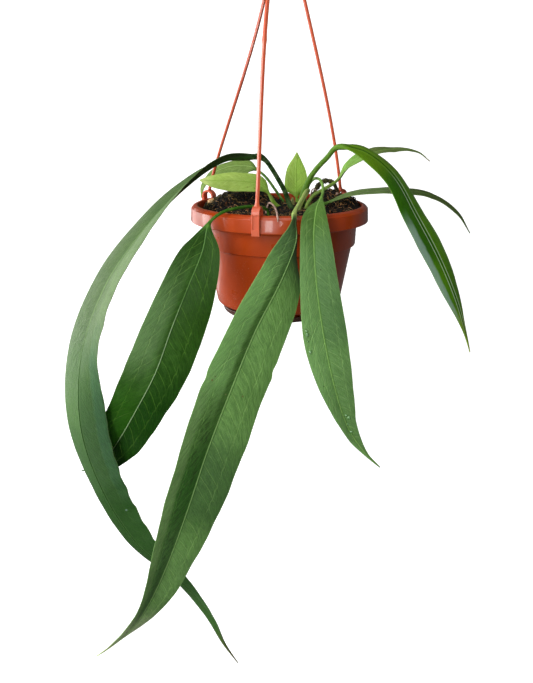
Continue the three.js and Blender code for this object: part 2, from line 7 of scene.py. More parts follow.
import json
import logging
import math
from collections.abc import Callable
from dataclasses import dataclass, field
from enum import Enum
from functools import cache

import bpy
import numpy as np
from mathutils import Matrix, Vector

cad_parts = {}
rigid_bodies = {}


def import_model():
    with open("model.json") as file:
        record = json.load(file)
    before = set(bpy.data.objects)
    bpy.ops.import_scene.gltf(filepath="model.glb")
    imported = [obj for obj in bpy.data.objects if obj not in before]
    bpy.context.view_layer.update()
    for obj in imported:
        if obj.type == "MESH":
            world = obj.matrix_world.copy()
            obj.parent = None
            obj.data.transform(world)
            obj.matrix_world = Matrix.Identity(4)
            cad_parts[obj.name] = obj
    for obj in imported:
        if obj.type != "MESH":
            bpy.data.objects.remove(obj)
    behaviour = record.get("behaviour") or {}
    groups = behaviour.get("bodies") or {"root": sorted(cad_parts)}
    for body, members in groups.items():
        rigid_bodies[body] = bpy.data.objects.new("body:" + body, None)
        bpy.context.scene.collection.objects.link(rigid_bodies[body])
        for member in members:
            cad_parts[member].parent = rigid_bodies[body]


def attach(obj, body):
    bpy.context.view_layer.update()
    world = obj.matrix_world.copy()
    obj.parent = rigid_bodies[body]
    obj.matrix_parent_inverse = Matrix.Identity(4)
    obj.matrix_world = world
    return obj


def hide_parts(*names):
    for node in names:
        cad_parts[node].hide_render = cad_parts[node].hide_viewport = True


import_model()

log = logging.getLogger("potted_anthurium")
logging.basicConfig(level=logging.INFO, format="%(name)s: %(message)s")

MM = 0.001
RIM_DROP = 250.0
SEED = 11
ROOT_BODY = "root"

Rows = list[tuple[float, ...]]
Outline = list[tuple[float, float]]
Colour = tuple[float, float, float]
Thing = bpy.types.Object
Socket = bpy.types.NodeSocket


def rgb(red: int, green: int, blue: int) -> Colour:
    """Turn an 8-bit display colour into the linear colour that a shader takes."""
    parts = np.array([red, green, blue]) / 255
    return tuple(np.where(parts <= 0.04045, parts / 12.92, ((parts + 0.055) / 1.055) ** 2.4).tolist())


def scaled(colour: Colour, factor: float) -> Colour:
    """Make a colour darker or lighter by a factor."""
    return tuple(min(value * factor, 1.0) for value in colour)


def smoothstep(low: float, high: float, value: np.ndarray) -> np.ndarray:
    """Rise smoothly from 0 at low to 1 at high."""
    t = np.clip((value - low) / (high - low), 0, 1)
    return t * t * (3 - 2 * t)


def unit(vectors: np.ndarray) -> np.ndarray:
    """Scale each row of vectors to length 1."""
    return vectors / np.linalg.norm(vectors, axis=-1, keepdims=True)


class RowCurve:
    """A smooth curve through rows of numbers, measured along the length of their first three columns."""

    def __init__(self, rows: Rows) -> None:
        """Work out the length marks and slopes of the rows.

        Args:
            rows: Rows whose first three numbers are a place.
        """
        self.rows = np.array(rows, dtype=float)
        steps = np.linalg.norm(np.diff(self.rows[:, :3], axis=0), axis=1)
        self.marks = np.concatenate([[0.0], np.cumsum(steps)])
        self.length = float(self.marks[-1])
        last = len(rows) - 1
        before = np.maximum(np.arange(last + 1) - 1, 0)
        after = np.minimum(np.arange(last + 1) + 1, last)
        span = (self.marks[after] - self.marks[before])[:, None]
        self.slopes = (self.rows[after] - self.rows[before]) / span

    def at(self, places: np.ndarray) -> np.ndarray:
        """Read the curve.

        Args:
            places: Lengths along the curve.

        Returns:
            One row of interpolated numbers for each place.
        """
        places = np.clip(places, 0, self.length)
        i = np.clip(np.searchsorted(self.marks, places, side="right") - 1, 0, len(self.rows) - 2)
        h = (self.marks[i + 1] - self.marks[i])[:, None]
        t = (places - self.marks[i])[:, None] / h
        return (
            (2 * t**3 - 3 * t**2 + 1) * self.rows[i] + (t**3 - 2 * t**2 + t) * h * self.slopes[i]
            + (3 * t**2 - 2 * t**3) * self.rows[i + 1] + (t**3 - t**2) * h * self.slopes[i + 1]
        )

    def tangent(self, places: np.ndarray, reach: float) -> np.ndarray:
        """Give the unit direction of the curve at each place, over that reach to either side."""
        return unit(self.at(places + reach)[:, :3] - self.at(places - reach)[:, :3])


# Outlines and rings

def round_angles(count: int) -> np.ndarray:
    """Give evenly spaced angles round a full turn."""
    return 2 * math.pi * np.arange(count) / count


def circle(radius: float, height: float, count: int) -> np.ndarray:
    """Give points round the pot's axis at one radius and height."""
    angles = round_angles(count)
    return np.stack([radius * np.cos(angles), radius * np.sin(angles), np.full(count, height)], axis=1)


def arc(centre: tuple[float, float], radius: float, start: float, end: float, steps: int) -> Outline:
    """Give points along an arc from one angle in degrees to another, both ends included."""
    angles = np.radians(np.linspace(start, end, steps + 1))
    return [(centre[0] + radius * math.cos(a), centre[1] + radius * math.sin(a)) for a in angles]


def rounded(corners: list[tuple[float, float, float]], steps: int = 4) -> Outline:
    """Round the corners of an open outline.

    Args:
        corners: Each corner's two coordinates and its rounding radius.
        steps: Steps in each rounded corner.

    Returns:
        The outline's points.
    """
    outline = []
    for i, (x, y, radius) in enumerate(corners):
        if radius <= 0 or i in (0, len(corners) - 1):
            outline.append((x, y))
            continue
        here = Vector((x, y))
        back = Vector(corners[i - 1][:2]) - here
        ahead = Vector(corners[i + 1][:2]) - here
        cut = min(radius / math.tan(back.angle(ahead) / 2), 0.45 * back.length, 0.45 * ahead.length)
        first, last = here + back.normalized() * cut, here + ahead.normalized() * cut
        for t in np.linspace(0, 1, steps + 1).tolist():
            point = first * (1 - t) ** 2 + here * (2 * t * (1 - t)) + last * t**2
            outline.append((point.x, point.y))
    return outline


# Meshes

def linked(name: str, data: bpy.types.ID) -> Thing:
    """Make an object of some data at the origin and link it to the scene.

    Args:
        name: The object's name.
        data: Its mesh, light or camera.

    Returns:
        The new object.
    """
    thing = bpy.data.objects.new(name, data)
    bpy.context.scene.collection.objects.link(thing)
    return thing


def new_object(name: str, vertices: np.ndarray, faces: list[tuple[int, ...]], sharp: float = 50) -> Thing:
    """Make a smooth-shaded mesh object at the origin.

    Args:
        name: The object's name.
        vertices: Points in millimetres from the rim.
        faces: Corner numbers of each face.
        sharp: Angle in degrees past which an edge stays sharp.

    Returns:
        The new object, linked to the scene.
    """
    mesh = bpy.data.meshes.new(name)
    in_frame = (np.asarray(vertices, dtype=float).reshape(-1, 3) - (0, 0, RIM_DROP)) * MM
    mesh.from_pydata(in_frame.tolist(), [], faces)
    mesh.validate()
    mesh.shade_smooth()
    mesh.set_sharp_from_angle(angle=math.radians(sharp))
    return linked(name, mesh)


def skin_faces(rings: int, count: int, caps: bool = True) -> list[tuple[int, ...]]:
    """List the faces that join rings of equal point count into one skin.

    Args:
        rings: Number of rings.
        count: Points in each ring.
        caps: Whether the first and last ring are closed.

    Returns:
        The faces as corner numbers.
    """
    faces = []
    for i in range(rings - 1):
        for j in range(count):
            a, b = i * count + j, i * count + (j + 1) % count
            faces.append((a, b, b + count, a + count))
    if caps:
        faces.append(tuple(reversed(range(count))))
        faces.append(tuple(range((rings - 1) * count, rings * count)))
    return faces


def face_out(thing: Thing) -> None:
    """Turn a closed mesh's faces outwards if they point in.

    Args:
        thing: The closed mesh's object.
    """
    mesh = thing.data
    mesh.calc_loop_triangles()
    points = np.zeros(len(mesh.vertices) * 3)
    mesh.vertices.foreach_get("co", points)
    corners = np.zeros(len(mesh.loop_triangles) * 3, dtype=int)
    mesh.loop_triangles.foreach_get("vertices", corners)
    a, b, c = points.reshape(-1, 3)[corners.reshape(-1, 3)].transpose(1, 0, 2)
    if np.einsum("ij,ij->", a, np.cross(b, c)) < 0:
        mesh.flip_normals()


@cache
def material_of(finish: object) -> bpy.types.Material:
    """Give a finish's material, built the first time that it is asked for."""
    return finish.material()


def dress(thing: Thing, finish: object) -> Thing:
    """Give an object one finish in place of any others.

    Args:
        thing: The object.
        finish: The finish.

    Returns:
        The same object.
    """
    thing.data.materials.clear()
    thing.data.materials.append(material_of(finish))
    return thing


def skinned(name: str, rings: np.ndarray | list, finish: object, sharp: float) -> Thing:
    """Join rings of points into one closed object with its faces outwards.

    Args:
        name: The object's name.
        rings: Rings of equally many points, in millimetres from the rim.
        finish: The object's finish.
        sharp: Angle in degrees past which an edge stays sharp.

    Returns:
        The closed object.
    """
    points = np.array(rings)
    thing = new_object(name, points, skin_faces(*points.shape[:2]), sharp)
    face_out(thing)
    return dress(thing, finish)


def turned(name: str, outline: Outline, finish: object, sides: int) -> Thing:
    """Turn an outline of radius and height about the pot's axis.

    Args:
        name: The object's name.
        outline: Points from the axis round to the axis again.
        finish: The object's finish.
        sides: Number of steps round the axis.

    Returns:
        The closed turned object.
    """
    rings = [circle(radius, height, sides) for radius, height in outline[1:-1]]
    poles = np.array([[0, 0, outline[0][1]], [0, 0, outline[-1][1]]])
    vertices = np.concatenate([*rings, poles])
    faces = skin_faces(len(rings), sides, caps=False)
    first, last = len(vertices) - 2, len(vertices) - 1
    top = (len(rings) - 1) * sides
    for j in range(sides):
        k = (j + 1) % sides
        faces += [(first, k, j), (last, top + j, top + k)]
    thing = new_object(name, vertices, faces, sharp=40)
    face_out(thing)
    return dress(thing, finish)


def store(thing: Thing, name: str, values: np.ndarray) -> None:
    """Keep one number for each point of a mesh, for its material to read."""
    layer = thing.data.attributes.new(name, "FLOAT", "POINT")
    layer.data.foreach_set("value", np.asarray(values, dtype=np.float32).ravel())


def join(name: str, things: list[Thing]) -> Thing:
    """Join several mesh objects into one of that name.

    Args:
        name: The joined object's name.
        things: The objects, the first of which takes in the others.

    Returns:
        The joined object.
    """
    for other in bpy.context.selected_objects:
        other.select_set(False)
    for thing in things:
        thing.select_set(True)
    bpy.context.view_layer.objects.active = things[0]
    bpy.ops.object.join()
    things[0].name = things[0].data.name = name
    return things[0]


def applied(thing: Thing) -> Thing:
    """Turn an object's modifiers into its plain mesh and remove them.

    Args:
        thing: The object with its modifiers.

    Returns:
        The same object.
    """
    graph = bpy.context.evaluated_depsgraph_get()
    mesh = bpy.data.meshes.new_from_object(thing.evaluated_get(graph), depsgraph=graph)
    thing.modifiers.clear()
    old = thing.data
    thing.data = mesh
    bpy.data.meshes.remove(old)
    mesh.name = thing.name
    return thing


# Shader and geometry trees

def sum_of(operation: str, swapped: bool = False) -> Callable:
    """Make the method that does one kind of sum on a value and another.

    Args:
        operation: The Math node's operation.
        swapped: Whether the other value comes first.

    Returns:
        The method.
    """
    def method(value: "Value", other: object) -> "Value":
        """Do the sum in the value's own tree."""
        pair = (other, value) if swapped else (value, other)
        return value.shader.math(operation, *pair)

    return method


@dataclass(frozen=True)
class Value:
    """A number, vector or colour in a material's tree, which can be added, multiplied and compared."""

    shader: "Shader"
    socket: Socket

    __add__ = __radd__ = sum_of("ADD")
    __sub__ = sum_of("SUBTRACT")
    __rsub__ = sum_of("SUBTRACT", swapped=True)
    __mul__ = __rmul__ = sum_of("MULTIPLY")
    __truediv__ = sum_of("DIVIDE")
    __pow__ = sum_of("POWER")
    __lt__ = sum_of("LESS_THAN")
    __gt__ = sum_of("GREATER_THAN")

    def __abs__(self) -> "Value":
        """Drop the sign."""
        return self.shader.math("ABSOLUTE", self)

    def clamped(self) -> "Value":
        """Keep it between 0 and 1."""
        return self.shader.math("ADD", self, 0.0, clamp=True)

    def ramp(self, low: float, high: float, start: object = 0.0, end: object = 1.0) -> "Value":
        """Map it smoothly from low..high to start..end."""
        inputs = {"Value": self, "From Min": low, "From Max": high, "To Min": start, "To Max": end}
        return self.shader.read("MapRange", "Result", inputs, interpolation_type="SMOOTHSTEP")

    def fall(self, low: float, high: float) -> "Value":
        """Fall from 1 to 0 between two places."""
        return self.ramp(low, high, 1.0, 0.0)


class Tree:
    """A node tree that is built node by node."""

    prefix = ""

    def __init__(self, tree: bpy.types.NodeTree) -> None:
        """Take the tree to build in."""
        self.tree = tree

    def feed(self, socket: Socket, value: object) -> None:
        """Link a socket to another, or set its value.

        Args:
            socket: The input.
            value: A value of the tree, a socket, or a plain number, vector or colour.
        """
        if isinstance(value, Value):
            value = value.socket
        if isinstance(value, Socket):
            self.tree.links.new(value, socket)
        elif isinstance(value, tuple) and socket.type == "RGBA":
            socket.default_value = (*value, 1)
        else:
            socket.default_value = value

    def node(self, kind: str, inputs: dict | None = None, **settings: object) -> bpy.types.Node:
        """Add a node.

        Args:
            kind: The node's type name after the tree's prefix.
            inputs: Values or sockets by input name or number.
            **settings: Settings of the node itself.

        Returns:
            The new node.
        """
        made = self.tree.nodes.new(self.prefix + kind)
        for key, value in settings.items():
            setattr(made, key, value)
        for key, value in (inputs or {}).items():
            self.feed(made.inputs[key], value)
        return made


class Shader(Tree):
    """A material with one Principled surface, and short calls for the nodes that the finishes use."""

    prefix = "ShaderNode"

    def __init__(self, name: str) -> None:
        """Start the material.

        Args:
            name: The material's name.
        """
        self.material = bpy.data.materials.new(name)
        self.material.use_nodes = True
        super().__init__(self.material.node_tree)
        self.surface = self.tree.nodes["Principled BSDF"]

    def read(self, kind: str, output: int | str, inputs: dict | None = None, **settings: object) -> Value:
        """Add a node and give one of its outputs."""
        return Value(self, self.node(kind, inputs, **settings).outputs[output])

    def math(self, operation: str, *values: object, clamp: bool = False) -> Value:
        """Work out one number from others."""
        return self.read("Math", 0, dict(enumerate(values)), operation=operation, use_clamp=clamp)

    def mix(self, factor: object, first: object, second: object, blend: str = "MIX") -> Value:
        """Mix two colours by a factor."""
        return self.read("Mix", 2, {0: factor, 6: first, 7: second}, data_type="RGBA", blend_type=blend)

    def attribute(self, name: str) -> Value:
        """Read a number that the mesh keeps for each point."""
        return self.read("Attribute", "Fac", attribute_name=name)

    def place(self) -> Value:
        """Read the object coordinates, in metres."""
        return self.read("TexCoord", "Object")

    def noise(self, vector: object, scale: float, detail: float = 3, rough: float = 0.55) -> Value:
        """Read a noise value from 0 to 1 at a scale in cells per metre."""
        inputs = {"Vector": vector, "Scale": scale, "Detail": detail, "Roughness": rough}
        return self.read("TexNoise", "Fac", inputs)

    def vector(self, x: object, y: object, z: object = 0.0) -> Value:
        """Join three numbers into a vector."""
        return self.read("CombineXYZ", 0, {0: x, 1: y, 2: z})

    def bump(self, height: object, distance: float, strength: float = 1.0) -> None:
        """Give the surface relief of that height in metres."""
        inputs = {"Height": height, "Distance": distance, "Strength": strength}
        self.set(Normal=self.read("Bump", "Normal", inputs))

    def set(self, **inputs: object) -> None:
        """Set the surface's inputs, named with underscores for spaces."""
        for key, value in inputs.items():
            self.feed(self.surface.inputs[key.replace("_", " ")], value)


class GeometryTree(Tree):
    """A Geometry Nodes tree with named inputs, which strews copies of a shape over a surface."""

    def __init__(self, name: str, **inputs: str) -> None:
        """Start a tree that has these inputs by name and kind, and spread its points.

        Args:
            name: The tree's name.
            **inputs: The kind of each further input, which follows NodeSocket.
        """
        super().__init__(bpy.data.node_groups.new(name, "GeometryNodeTree"))
        self.ids: dict[str, str] = {}
        kinds = {"Geometry": "Geometry", "Density": "Float", "Seed": "Int", **inputs, "Material": "Material"}
        for key, kind in kinds.items():
            socket = self.tree.interface.new_socket(key, in_out="INPUT", socket_type="NodeSocket" + kind)
            self.ids[key] = socket.identifier
        self.tree.interface.new_socket("Geometry", in_out="OUTPUT", socket_type="NodeSocketGeometry")
        self.given = self.tree.nodes.new("NodeGroupInput").outputs
        self.end = self.tree.nodes.new("NodeGroupOutput")
        self.points = self.node("GeometryNodeDistributePointsOnFaces", {
            "Mesh": self.given["Geometry"], "Density": self.given["Density"], "Seed": self.given["Seed"],
        }).outputs["Points"]

    def random(self, low: object, high: object, seed: int) -> Socket:
        """Draw a number for each copy, or a vector where high isn't a plain number.

        Args:
            low: The lowest value.
            high: The highest value.
            seed: The draw's own seed.

        Returns:
            The drawn values.
        """
        first, kind = (2, "FLOAT") if isinstance(high, float) else (0, "FLOAT_VECTOR")
        inputs = {first: low, first + 1: high, "Seed": seed}
        return self.node("FunctionNodeRandomValue", inputs, data_type=kind).outputs[first // 2]

    def spread(self, shape: Socket, turn: Socket, size: Socket, tone: Socket) -> Socket:
        """Set a copy of the shape on each point, each with a tone of its own.

        Args:
            shape: The shape's geometry.
            turn: Each copy's rotation.
            size: Each copy's scale.
            tone: Each copy's tone, which its material reads.

        Returns:
            The copies.
        """
        copies = self.node("GeometryNodeInstanceOnPoints", {
            "Points": self.points, "Instance": shape, "Rotation": turn, "Scale": size,
        })
        return self.node("GeometryNodeStoreNamedAttribute", {
            "Geometry": copies.outputs[0], "Name": "tone", "Value": tone,
        }, data_type="FLOAT", domain="INSTANCE").outputs[0]

    def real(self, geometry: Socket) -> Socket:
        """Turn copies into real geometry."""
        return self.node("GeometryNodeRealizeInstances", {"Geometry": geometry}).outputs[0]

    def grow(self, geometry: Socket, thing: Thing, **values: object) -> Thing:
        """End the tree in real geometry with a material, and give its result to an object as its mesh.

        Args:
            geometry: What the tree has made.
            thing: The object whose surface goes in.
            **values: Input values by name.

        Returns:
            The same object with its new mesh.
        """
        dressed = self.node("GeometryNodeSetMaterial", {
            "Geometry": self.real(geometry), "Material": self.given["Material"],
        })
        self.tree.links.new(dressed.outputs[0], self.end.inputs[0])
        modifier = thing.modifiers.new("grow", "NODES")
        modifier.node_group = self.tree
        for name, value in values.items():
            modifier[self.ids[name]] = value
        return applied(thing)


# Finishes

DUST = rgb(214, 178, 160)
VEIN_GAIN = (2.1, 1.75, 1.9)


@dataclass(frozen=True)
class MouldedPlastic:
    """Smooth moulded plastic with faint flow marks, and dust that has settled low on the pot."""

    name: str
    colour: Colour
    dull: Colour
    roughness: float
    coat: float = 0.3
    dusty_from: float = -0.332
    dusty_to: float = -0.306

    def material(self) -> bpy.types.Material:
        """Build the material."""
        shader = Shader(self.name)
        place = shader.place()
        cloud = shader.noise(place, 28, 4)
        speck = shader.noise(place, 900, 2).ramp(0.62, 0.74)
        low = shader.read("SeparateXYZ", 2, {0: place}).ramp(self.dusty_from, self.dusty_to, 0.7, 0.0)
        settled = shader.math("MAXIMUM", cloud.ramp(0.45, 0.7, 0.0, 0.3), low)
        body = shader.mix(cloud.ramp(0.35, 0.7, 0.0, 0.5), self.colour, self.dull)
        rough = shader.noise(place, 60, 3).ramp(0.3, 0.7, self.roughness - 0.05, self.roughness + 0.09)
        shader.set(
            Base_Color=shader.mix(speck * settled, body, DUST),
            Roughness=rough,
            Specular_IOR_Level=0.35,
            Coat_Weight=self.coat,
            Coat_Roughness=0.08,
            Subsurface_Weight=0.06,
            Subsurface_Radius=(0.004, 0.0015, 0.0008),
            Subsurface_Scale=1.0,
        )
        shader.bump(shader.noise(place, 420, 3), 0.00006, 0.5)
        return shader.material


class BladeMap:
    """Where a point lies on a leaf, from the numbers that the mesh keeps.

    Across runs from -1 to 1, away is its size and side its sign. Along, half (the half width) and flat (the
    place on the flattened blade) are in metres. Width, from the midrib, is in millimetres. Reach is the
    share of the blade's length from its base. The loose ones are frayed by noise.
    """

    def __init__(self, shader: Shader, leaf: "LeafFinish") -> None:
        """Read the mesh's numbers and work out the rest.

        Args:
            shader: The material being built.
            leaf: The finish that spaces the side veins.
        """
        self.across, self.along, self.reach, self.half, self.blade, self.under = (
            shader.attribute(key) for key in ("across", "along", "reach", "half", "blade", "under")
        )
        self.away = abs(self.across)
        self.side = shader.math("SIGN", self.across)
        self.width = self.away * self.half * (1 / MM)
        self.flat = shader.vector(self.across * self.half, self.along)
        self.place = shader.place()
        self.patch = shader.noise(self.place, 26, 3)
        self.mottle = shader.noise(self.place, 150, 3)
        self.loose_reach = self.reach + (self.patch * 0.1 - 0.05)
        self.loose_away = self.away + (self.mottle * 0.16 - 0.08)
        self.count = self.vein_count(shader, leaf)

    def vein_count(self, shader: Shader, leaf: "LeafFinish") -> Value:
        """Number the side veins, which leave the midrib forwards and bend towards the margin.

        Args:
            shader: The material being built.
            leaf: The finish that spaces the side veins.

        Returns:
            A number that is whole on each side vein.
        """
        lean = self.away * leaf.lean + self.away ** 3.0 * 0.5
        forward = self.along - lean * self.half
        drift = (shader.noise(self.flat, 55, 1) - 0.5) * leaf.lateral_drift
        return forward / (leaf.lateral_spacing * MM) + (self.side * 0.19 + drift)


@dataclass(frozen=True)
class Zone:
    """A soft-edged patch of another tone on a blade.

    It lies between two shares of the blade's length and two of its half width, on the half -1 or 1, or on
    both for 0. Most zones are painted light and shade: sheens, halves turned from the light and darker
    hanging parts. A few are the leaf's own tone, as at its tip and base.
    """

    colour: Colour
    half: int
    start: float
    end: float
    inner: float = 0.0
    outer: float = 1.0
    strength: float = 0.85
    soft: float = 0.06
    soft_across: float = 0.08

    def share(self, spot: BladeMap) -> Value:
        """Work out how strongly the zone shows at each spot of the blade.

        Args:
            spot: The place on the blade.

        Returns:
            The zone's share from 0 to 1.
        """
        total = spot.loose_reach.ramp(self.start - self.soft, self.start + self.soft) * self.strength
        total = spot.loose_reach.fall(self.end - self.soft, self.end + self.soft) * total
        if self.inner > 0:
            edge = spot.loose_away.ramp(self.inner - self.soft_across, self.inner + self.soft_across)
            total = edge * total
        if self.outer < 1:
            edge = spot.loose_away.fall(self.outer - self.soft_across, self.outer + self.soft_across)
            total = edge * total
        return (spot.side * self.half > 0.0) * total if self.half else total


@dataclass(frozen=True)
class Mark:
    """A scar, a speck or a painted highlight, placed in millimetres from the blade's base and from its
    midrib.
    """

    along: float
    across: float
    radius: float
    colour: Colour
    strength: float = 0.9

    def share(self, spot: BladeMap) -> Value:
        """Work out how strongly the mark shows at each spot, with a frayed edge.

        Args:
            spot: The place on the blade.

        Returns:
            The mark's share from 0 to 1.
        """
        centre = (self.across * MM, self.along * MM, 0.0)
        shader = spot.flat.shader
        distance = shader.read("VectorMath", "Value", {0: spot.flat, 1: centre}, operation="DISTANCE")
        frayed = spot.mottle * (self.radius * 1.4 * MM) + distance
        return frayed.ramp(self.radius * 0.8 * MM, self.radius * 1.7 * MM, self.strength, 0.0)


@dataclass(frozen=True)
class LeafFinish:
    """A leathery leaf: its blade, veins, midrib, underside and petiole.

    The midrib is a core line with a flanking line at each side. The flanking line is painted shadow beside a
    raised rib, and a painted highlight on the bright leaf's ridges. The dips between the side veins get
    painted shade. Sizes are in millimetres. Where rib_low or flank_shading_low is given, it holds below the
    share rib_change of the blade's length.
    """

    name: str
    upper: Colour
    deep: Colour
    vein: Colour
    rib: Colour
    flank_shading: Colour
    under: Colour
    petiole: Colour
    tip: Colour
    zones: tuple[Zone, ...] = ()
    marks: tuple[Mark, ...] = ()
    roughness: float = 0.5
    specular: float = 0.28
    coat: float = 0.0
    core: float = 0.38
    core_strength: float = 0.9
    rib_low: Colour | None = None
    flank_shading_low: Colour | None = None
    rib_change: float = 0.35
    flank_at: float = 0.85
    flank_end: float = 0.85
    flank_width: float = 0.5
    flank_strength: float = 0.5
    lateral_spacing: float = 9.5
    lateral_strength: float = 0.5
    lateral_drift: float = 0.5
    lean: float = 0.9
    fine_strength: float = 0.16
    streak: float = 0.8
    lines: float = 0.2
    dip_shade: float = 0.0
    stripes: float = 0.35
    glow: float = 0.08

    def material(self) -> bpy.types.Material:
        """Build the material, whose veins follow the blade's own length and width."""
        shader = Shader(self.name)
        spot = BladeMap(shader, self)
        veins, small = self.veins(shader, spot)
        streaks = shader.noise(shader.vector(spot.count, spot.away * 1.3, spot.side), 3.2, 3, 0.6)
        lines = shader.noise(shader.vector(spot.across * spot.half, spot.along * 0.05), 1300, 2)
        shade = streaks.ramp(0.34, 0.7) * self.streak + spot.patch.ramp(0.4, 0.7) * 0.3
        shade = (shade + lines.ramp(0.35, 0.65) * self.lines + spot.mottle.ramp(0.45, 0.7) * 0.2).clamped()
        shown = (veins * self.lateral_strength + small * self.fine_strength).clamped()
        top = self.midrib(shader, spot, self.blade(shader, spot, shade, shown))
        below = shader.mix(shown * 0.7, self.under, self.vein)
        below = shader.mix(spot.width.ramp(0.9, 1.8, 0.7, 0.0), below, self.rib)
        colour = shader.mix(spot.under, top, below)
        colour = shader.mix(spot.reach.ramp(0.9, 1.0, 0.0, 0.85), colour, self.tip)
        cloud = shader.noise(spot.place, 240, 2).ramp(0.4, 0.7, 0.0, 0.4)
        stalk = shader.mix(cloud, self.petiole, self.vein)
        stalk = shader.mix(lines.ramp(0.45, 0.62, 0.0, self.stripes), stalk, scaled(self.petiole, 0.45))

        relief = shader.noise(spot.flat, 1500, 2) * 0.25 - veins * 0.8 - small * 0.4 + streaks * 1.6
        shader.bump(relief, 0.0003, 0.8)
        shader.set(
            Base_Color=shader.mix(spot.blade.ramp(0.2, 0.9), stalk, colour),
            Roughness=spot.patch.ramp(0.3, 0.75, self.roughness - 0.05, self.roughness + 0.07),
            IOR=1.36,
            Specular_IOR_Level=self.specular,
            Coat_Weight=self.coat,
            Coat_Roughness=0.22,
            Subsurface_Weight=self.glow,
            Subsurface_Radius=(0.0012, 0.002, 0.0005),
            Subsurface_Scale=1.0,
        )
        return shader.material

    def veins(self, shader: Shader, spot: BladeMap) -> tuple[Value, Value]:
        """Draw the side veins, the vein that gathers them near the margin, and the fine ones between.

        Args:
            shader: The material being built.
            spot: The place on the blade.

        Returns:
            The strength of the main veins and of the fine ones.
        """
        turn = spot.count * (2 * math.pi)
        peak = shader.math("COSINE", turn)
        some = shader.noise(shader.vector(spot.count * 0.8, spot.side, spot.away), 1.0, 1)
        lateral = peak.ramp(0.91, 0.993) * some.ramp(0.38, 0.62, 0.1, 1.0)
        lateral = lateral * spot.away.ramp(0.6, 0.74, 1.0, 0.15)
        gap = abs(spot.away - (peak * 0.014 + 0.58)) * spot.half
        collective = gap.fall(0.0001, 0.0007) * some.ramp(0.3, 0.6, 0.2, 0.8) * spot.half.ramp(0.006, 0.012)
        fine = shader.math("COSINE", turn * 4.0).ramp(0.5, 1.0)
        cells = {"Vector": shader.vector(spot.count, spot.away * 2.2), "Scale": 4.5}
        net = shader.read("TexVoronoi", "Distance", cells, feature="DISTANCE_TO_EDGE").fall(0.0, 0.16)
        return shader.math("MAXIMUM", lateral, collective), shader.math("MAXIMUM", fine * 0.7, net * 0.8)

    def blade(self, shader: Shader, spot: BladeMap, shade: Value, shown: Value) -> Value:
        """Colour the upper face with its zones, mostly painted light and shade, painted shade in the dips,
        side veins and marks.

        Args:
            shader: The material being built.
            spot: The place on the blade.
            shade: How far the deeper tone shows.
            shown: How far the veins show.

        Returns:
            The colour beside the midrib.
        """
        body = shader.mix(shade, self.upper, self.deep)
        for zone in self.zones:
            tone = shader.mix(shade * 0.8, zone.colour, scaled(zone.colour, 0.72))
            body = shader.mix(zone.share(spot), body, tone)
        # Painted shade: the dips between the side veins are darkened.
        if self.dip_shade:
            body = shader.mix(self.dips(shader, spot) * self.dip_shade, body, scaled(self.deep, 0.35))
        raised = shader.mix(1.0, body, VEIN_GAIN, "MULTIPLY")
        top = shader.mix(shown, body, shader.mix(0.3, raised, self.vein))
        for mark in self.marks:
            top = shader.mix(mark.share(spot), top, mark.colour)
        return top

    def dips(self, shader: Shader, spot: BladeMap) -> Value:
        """Find the dips between the side veins of one half, towards the tip, which take painted shade.

        Args:
            shader: The material being built.
            spot: The place on the blade.

        Returns:
            How far the dips show.
        """
        dips = shader.noise(shader.vector(spot.count * 1.9, spot.away * 4.2), 1.6, 2).ramp(0.5, 0.62)
        band = spot.away.ramp(0.06, 0.2) * spot.away.fall(0.55, 0.7)
        return dips * band * (spot.side < 0.0) * spot.reach.ramp(0.3, 0.42)

    def midrib(self, shader: Shader, spot: BladeMap, top: Value) -> Value:
        """Draw the midrib's core, its flanking lines of painted shade and highlight, and the margin over the
        upper face.

        Args:
            shader: The material being built.
            spot: The place on the blade.
            top: The upper face's colour so far.

        Returns:
            The upper face's whole colour.
        """
        # Flanking lines of painted light: painted shadow along a raised midrib, painted highlights along the
        # bright leaf's ridges.
        change = spot.reach.ramp(self.rib_change - 0.06, self.rib_change + 0.06)
        flank_shading = self.flank_shading if self.flank_shading_low is None else shader.mix(change, self.flank_shading_low, self.flank_shading)
        rib = self.rib if self.rib_low is None else shader.mix(change, self.rib_low, self.rib)
        flank_at = spot.reach * (self.flank_end - self.flank_at) + self.flank_at
        beside = abs(spot.width - flank_at).ramp(0.0, self.flank_width, self.flank_strength, 0.0)
        core = spot.width.ramp(self.core * 0.6, self.core * 1.5, self.core_strength, 0.0)
        top = shader.mix(beside * spot.reach.fall(0.84, 0.94), top, flank_shading)
        top = shader.mix(core * spot.reach.fall(0.9, 0.97), top, rib)
        return shader.mix(spot.away.ramp(0.97, 0.995, 0.0, 0.3), top, self.vein)


@dataclass(frozen=True)
class EarthFinish:
    """Loose dark mix whose bits keep a tone of their own in the attribute tone."""

    name: str
    dark: Colour
    middle: Colour
    light: Colour
    moss: Colour
    light_from: float = 0.75

    def material(self) -> bpy.types.Material:
        """Build the material."""
        shader = Shader(self.name)
        place = shader.place()
        body = shader.mix(shader.noise(place, 130, 4).ramp(0.35, 0.7), self.dark, self.middle)
        body = shader.mix(shader.attribute("tone").ramp(self.light_from, 1.08), body, self.light)
        body = shader.mix(shader.noise(place, 45, 3).ramp(0.5, 0.62) * 0.6, body, self.moss)
        shader.set(Base_Color=body, Roughness=0.9)
        shader.bump(shader.noise(place, 1100, 4, 0.7), 0.0006, 0.8)
        return shader.material


@dataclass(frozen=True)
class BarkFinish:
    """A root's or sheath's skin, streaked along its length."""

    name: str
    colour: Colour
    streak: Colour
    roughness: float = 0.7

    def material(self) -> bpy.types.Material:
        """Build the material."""
        shader = Shader(self.name)
        place = shader.place()
        streaked = shader.mix(shader.noise(place, 500, 4).ramp(0.35, 0.65), self.colour, self.streak)
        shader.set(Base_Color=streaked, Roughness=self.roughness)
        shader.bump(shader.noise(place, 1400, 4), 0.0003, 0.8)
        return shader.material


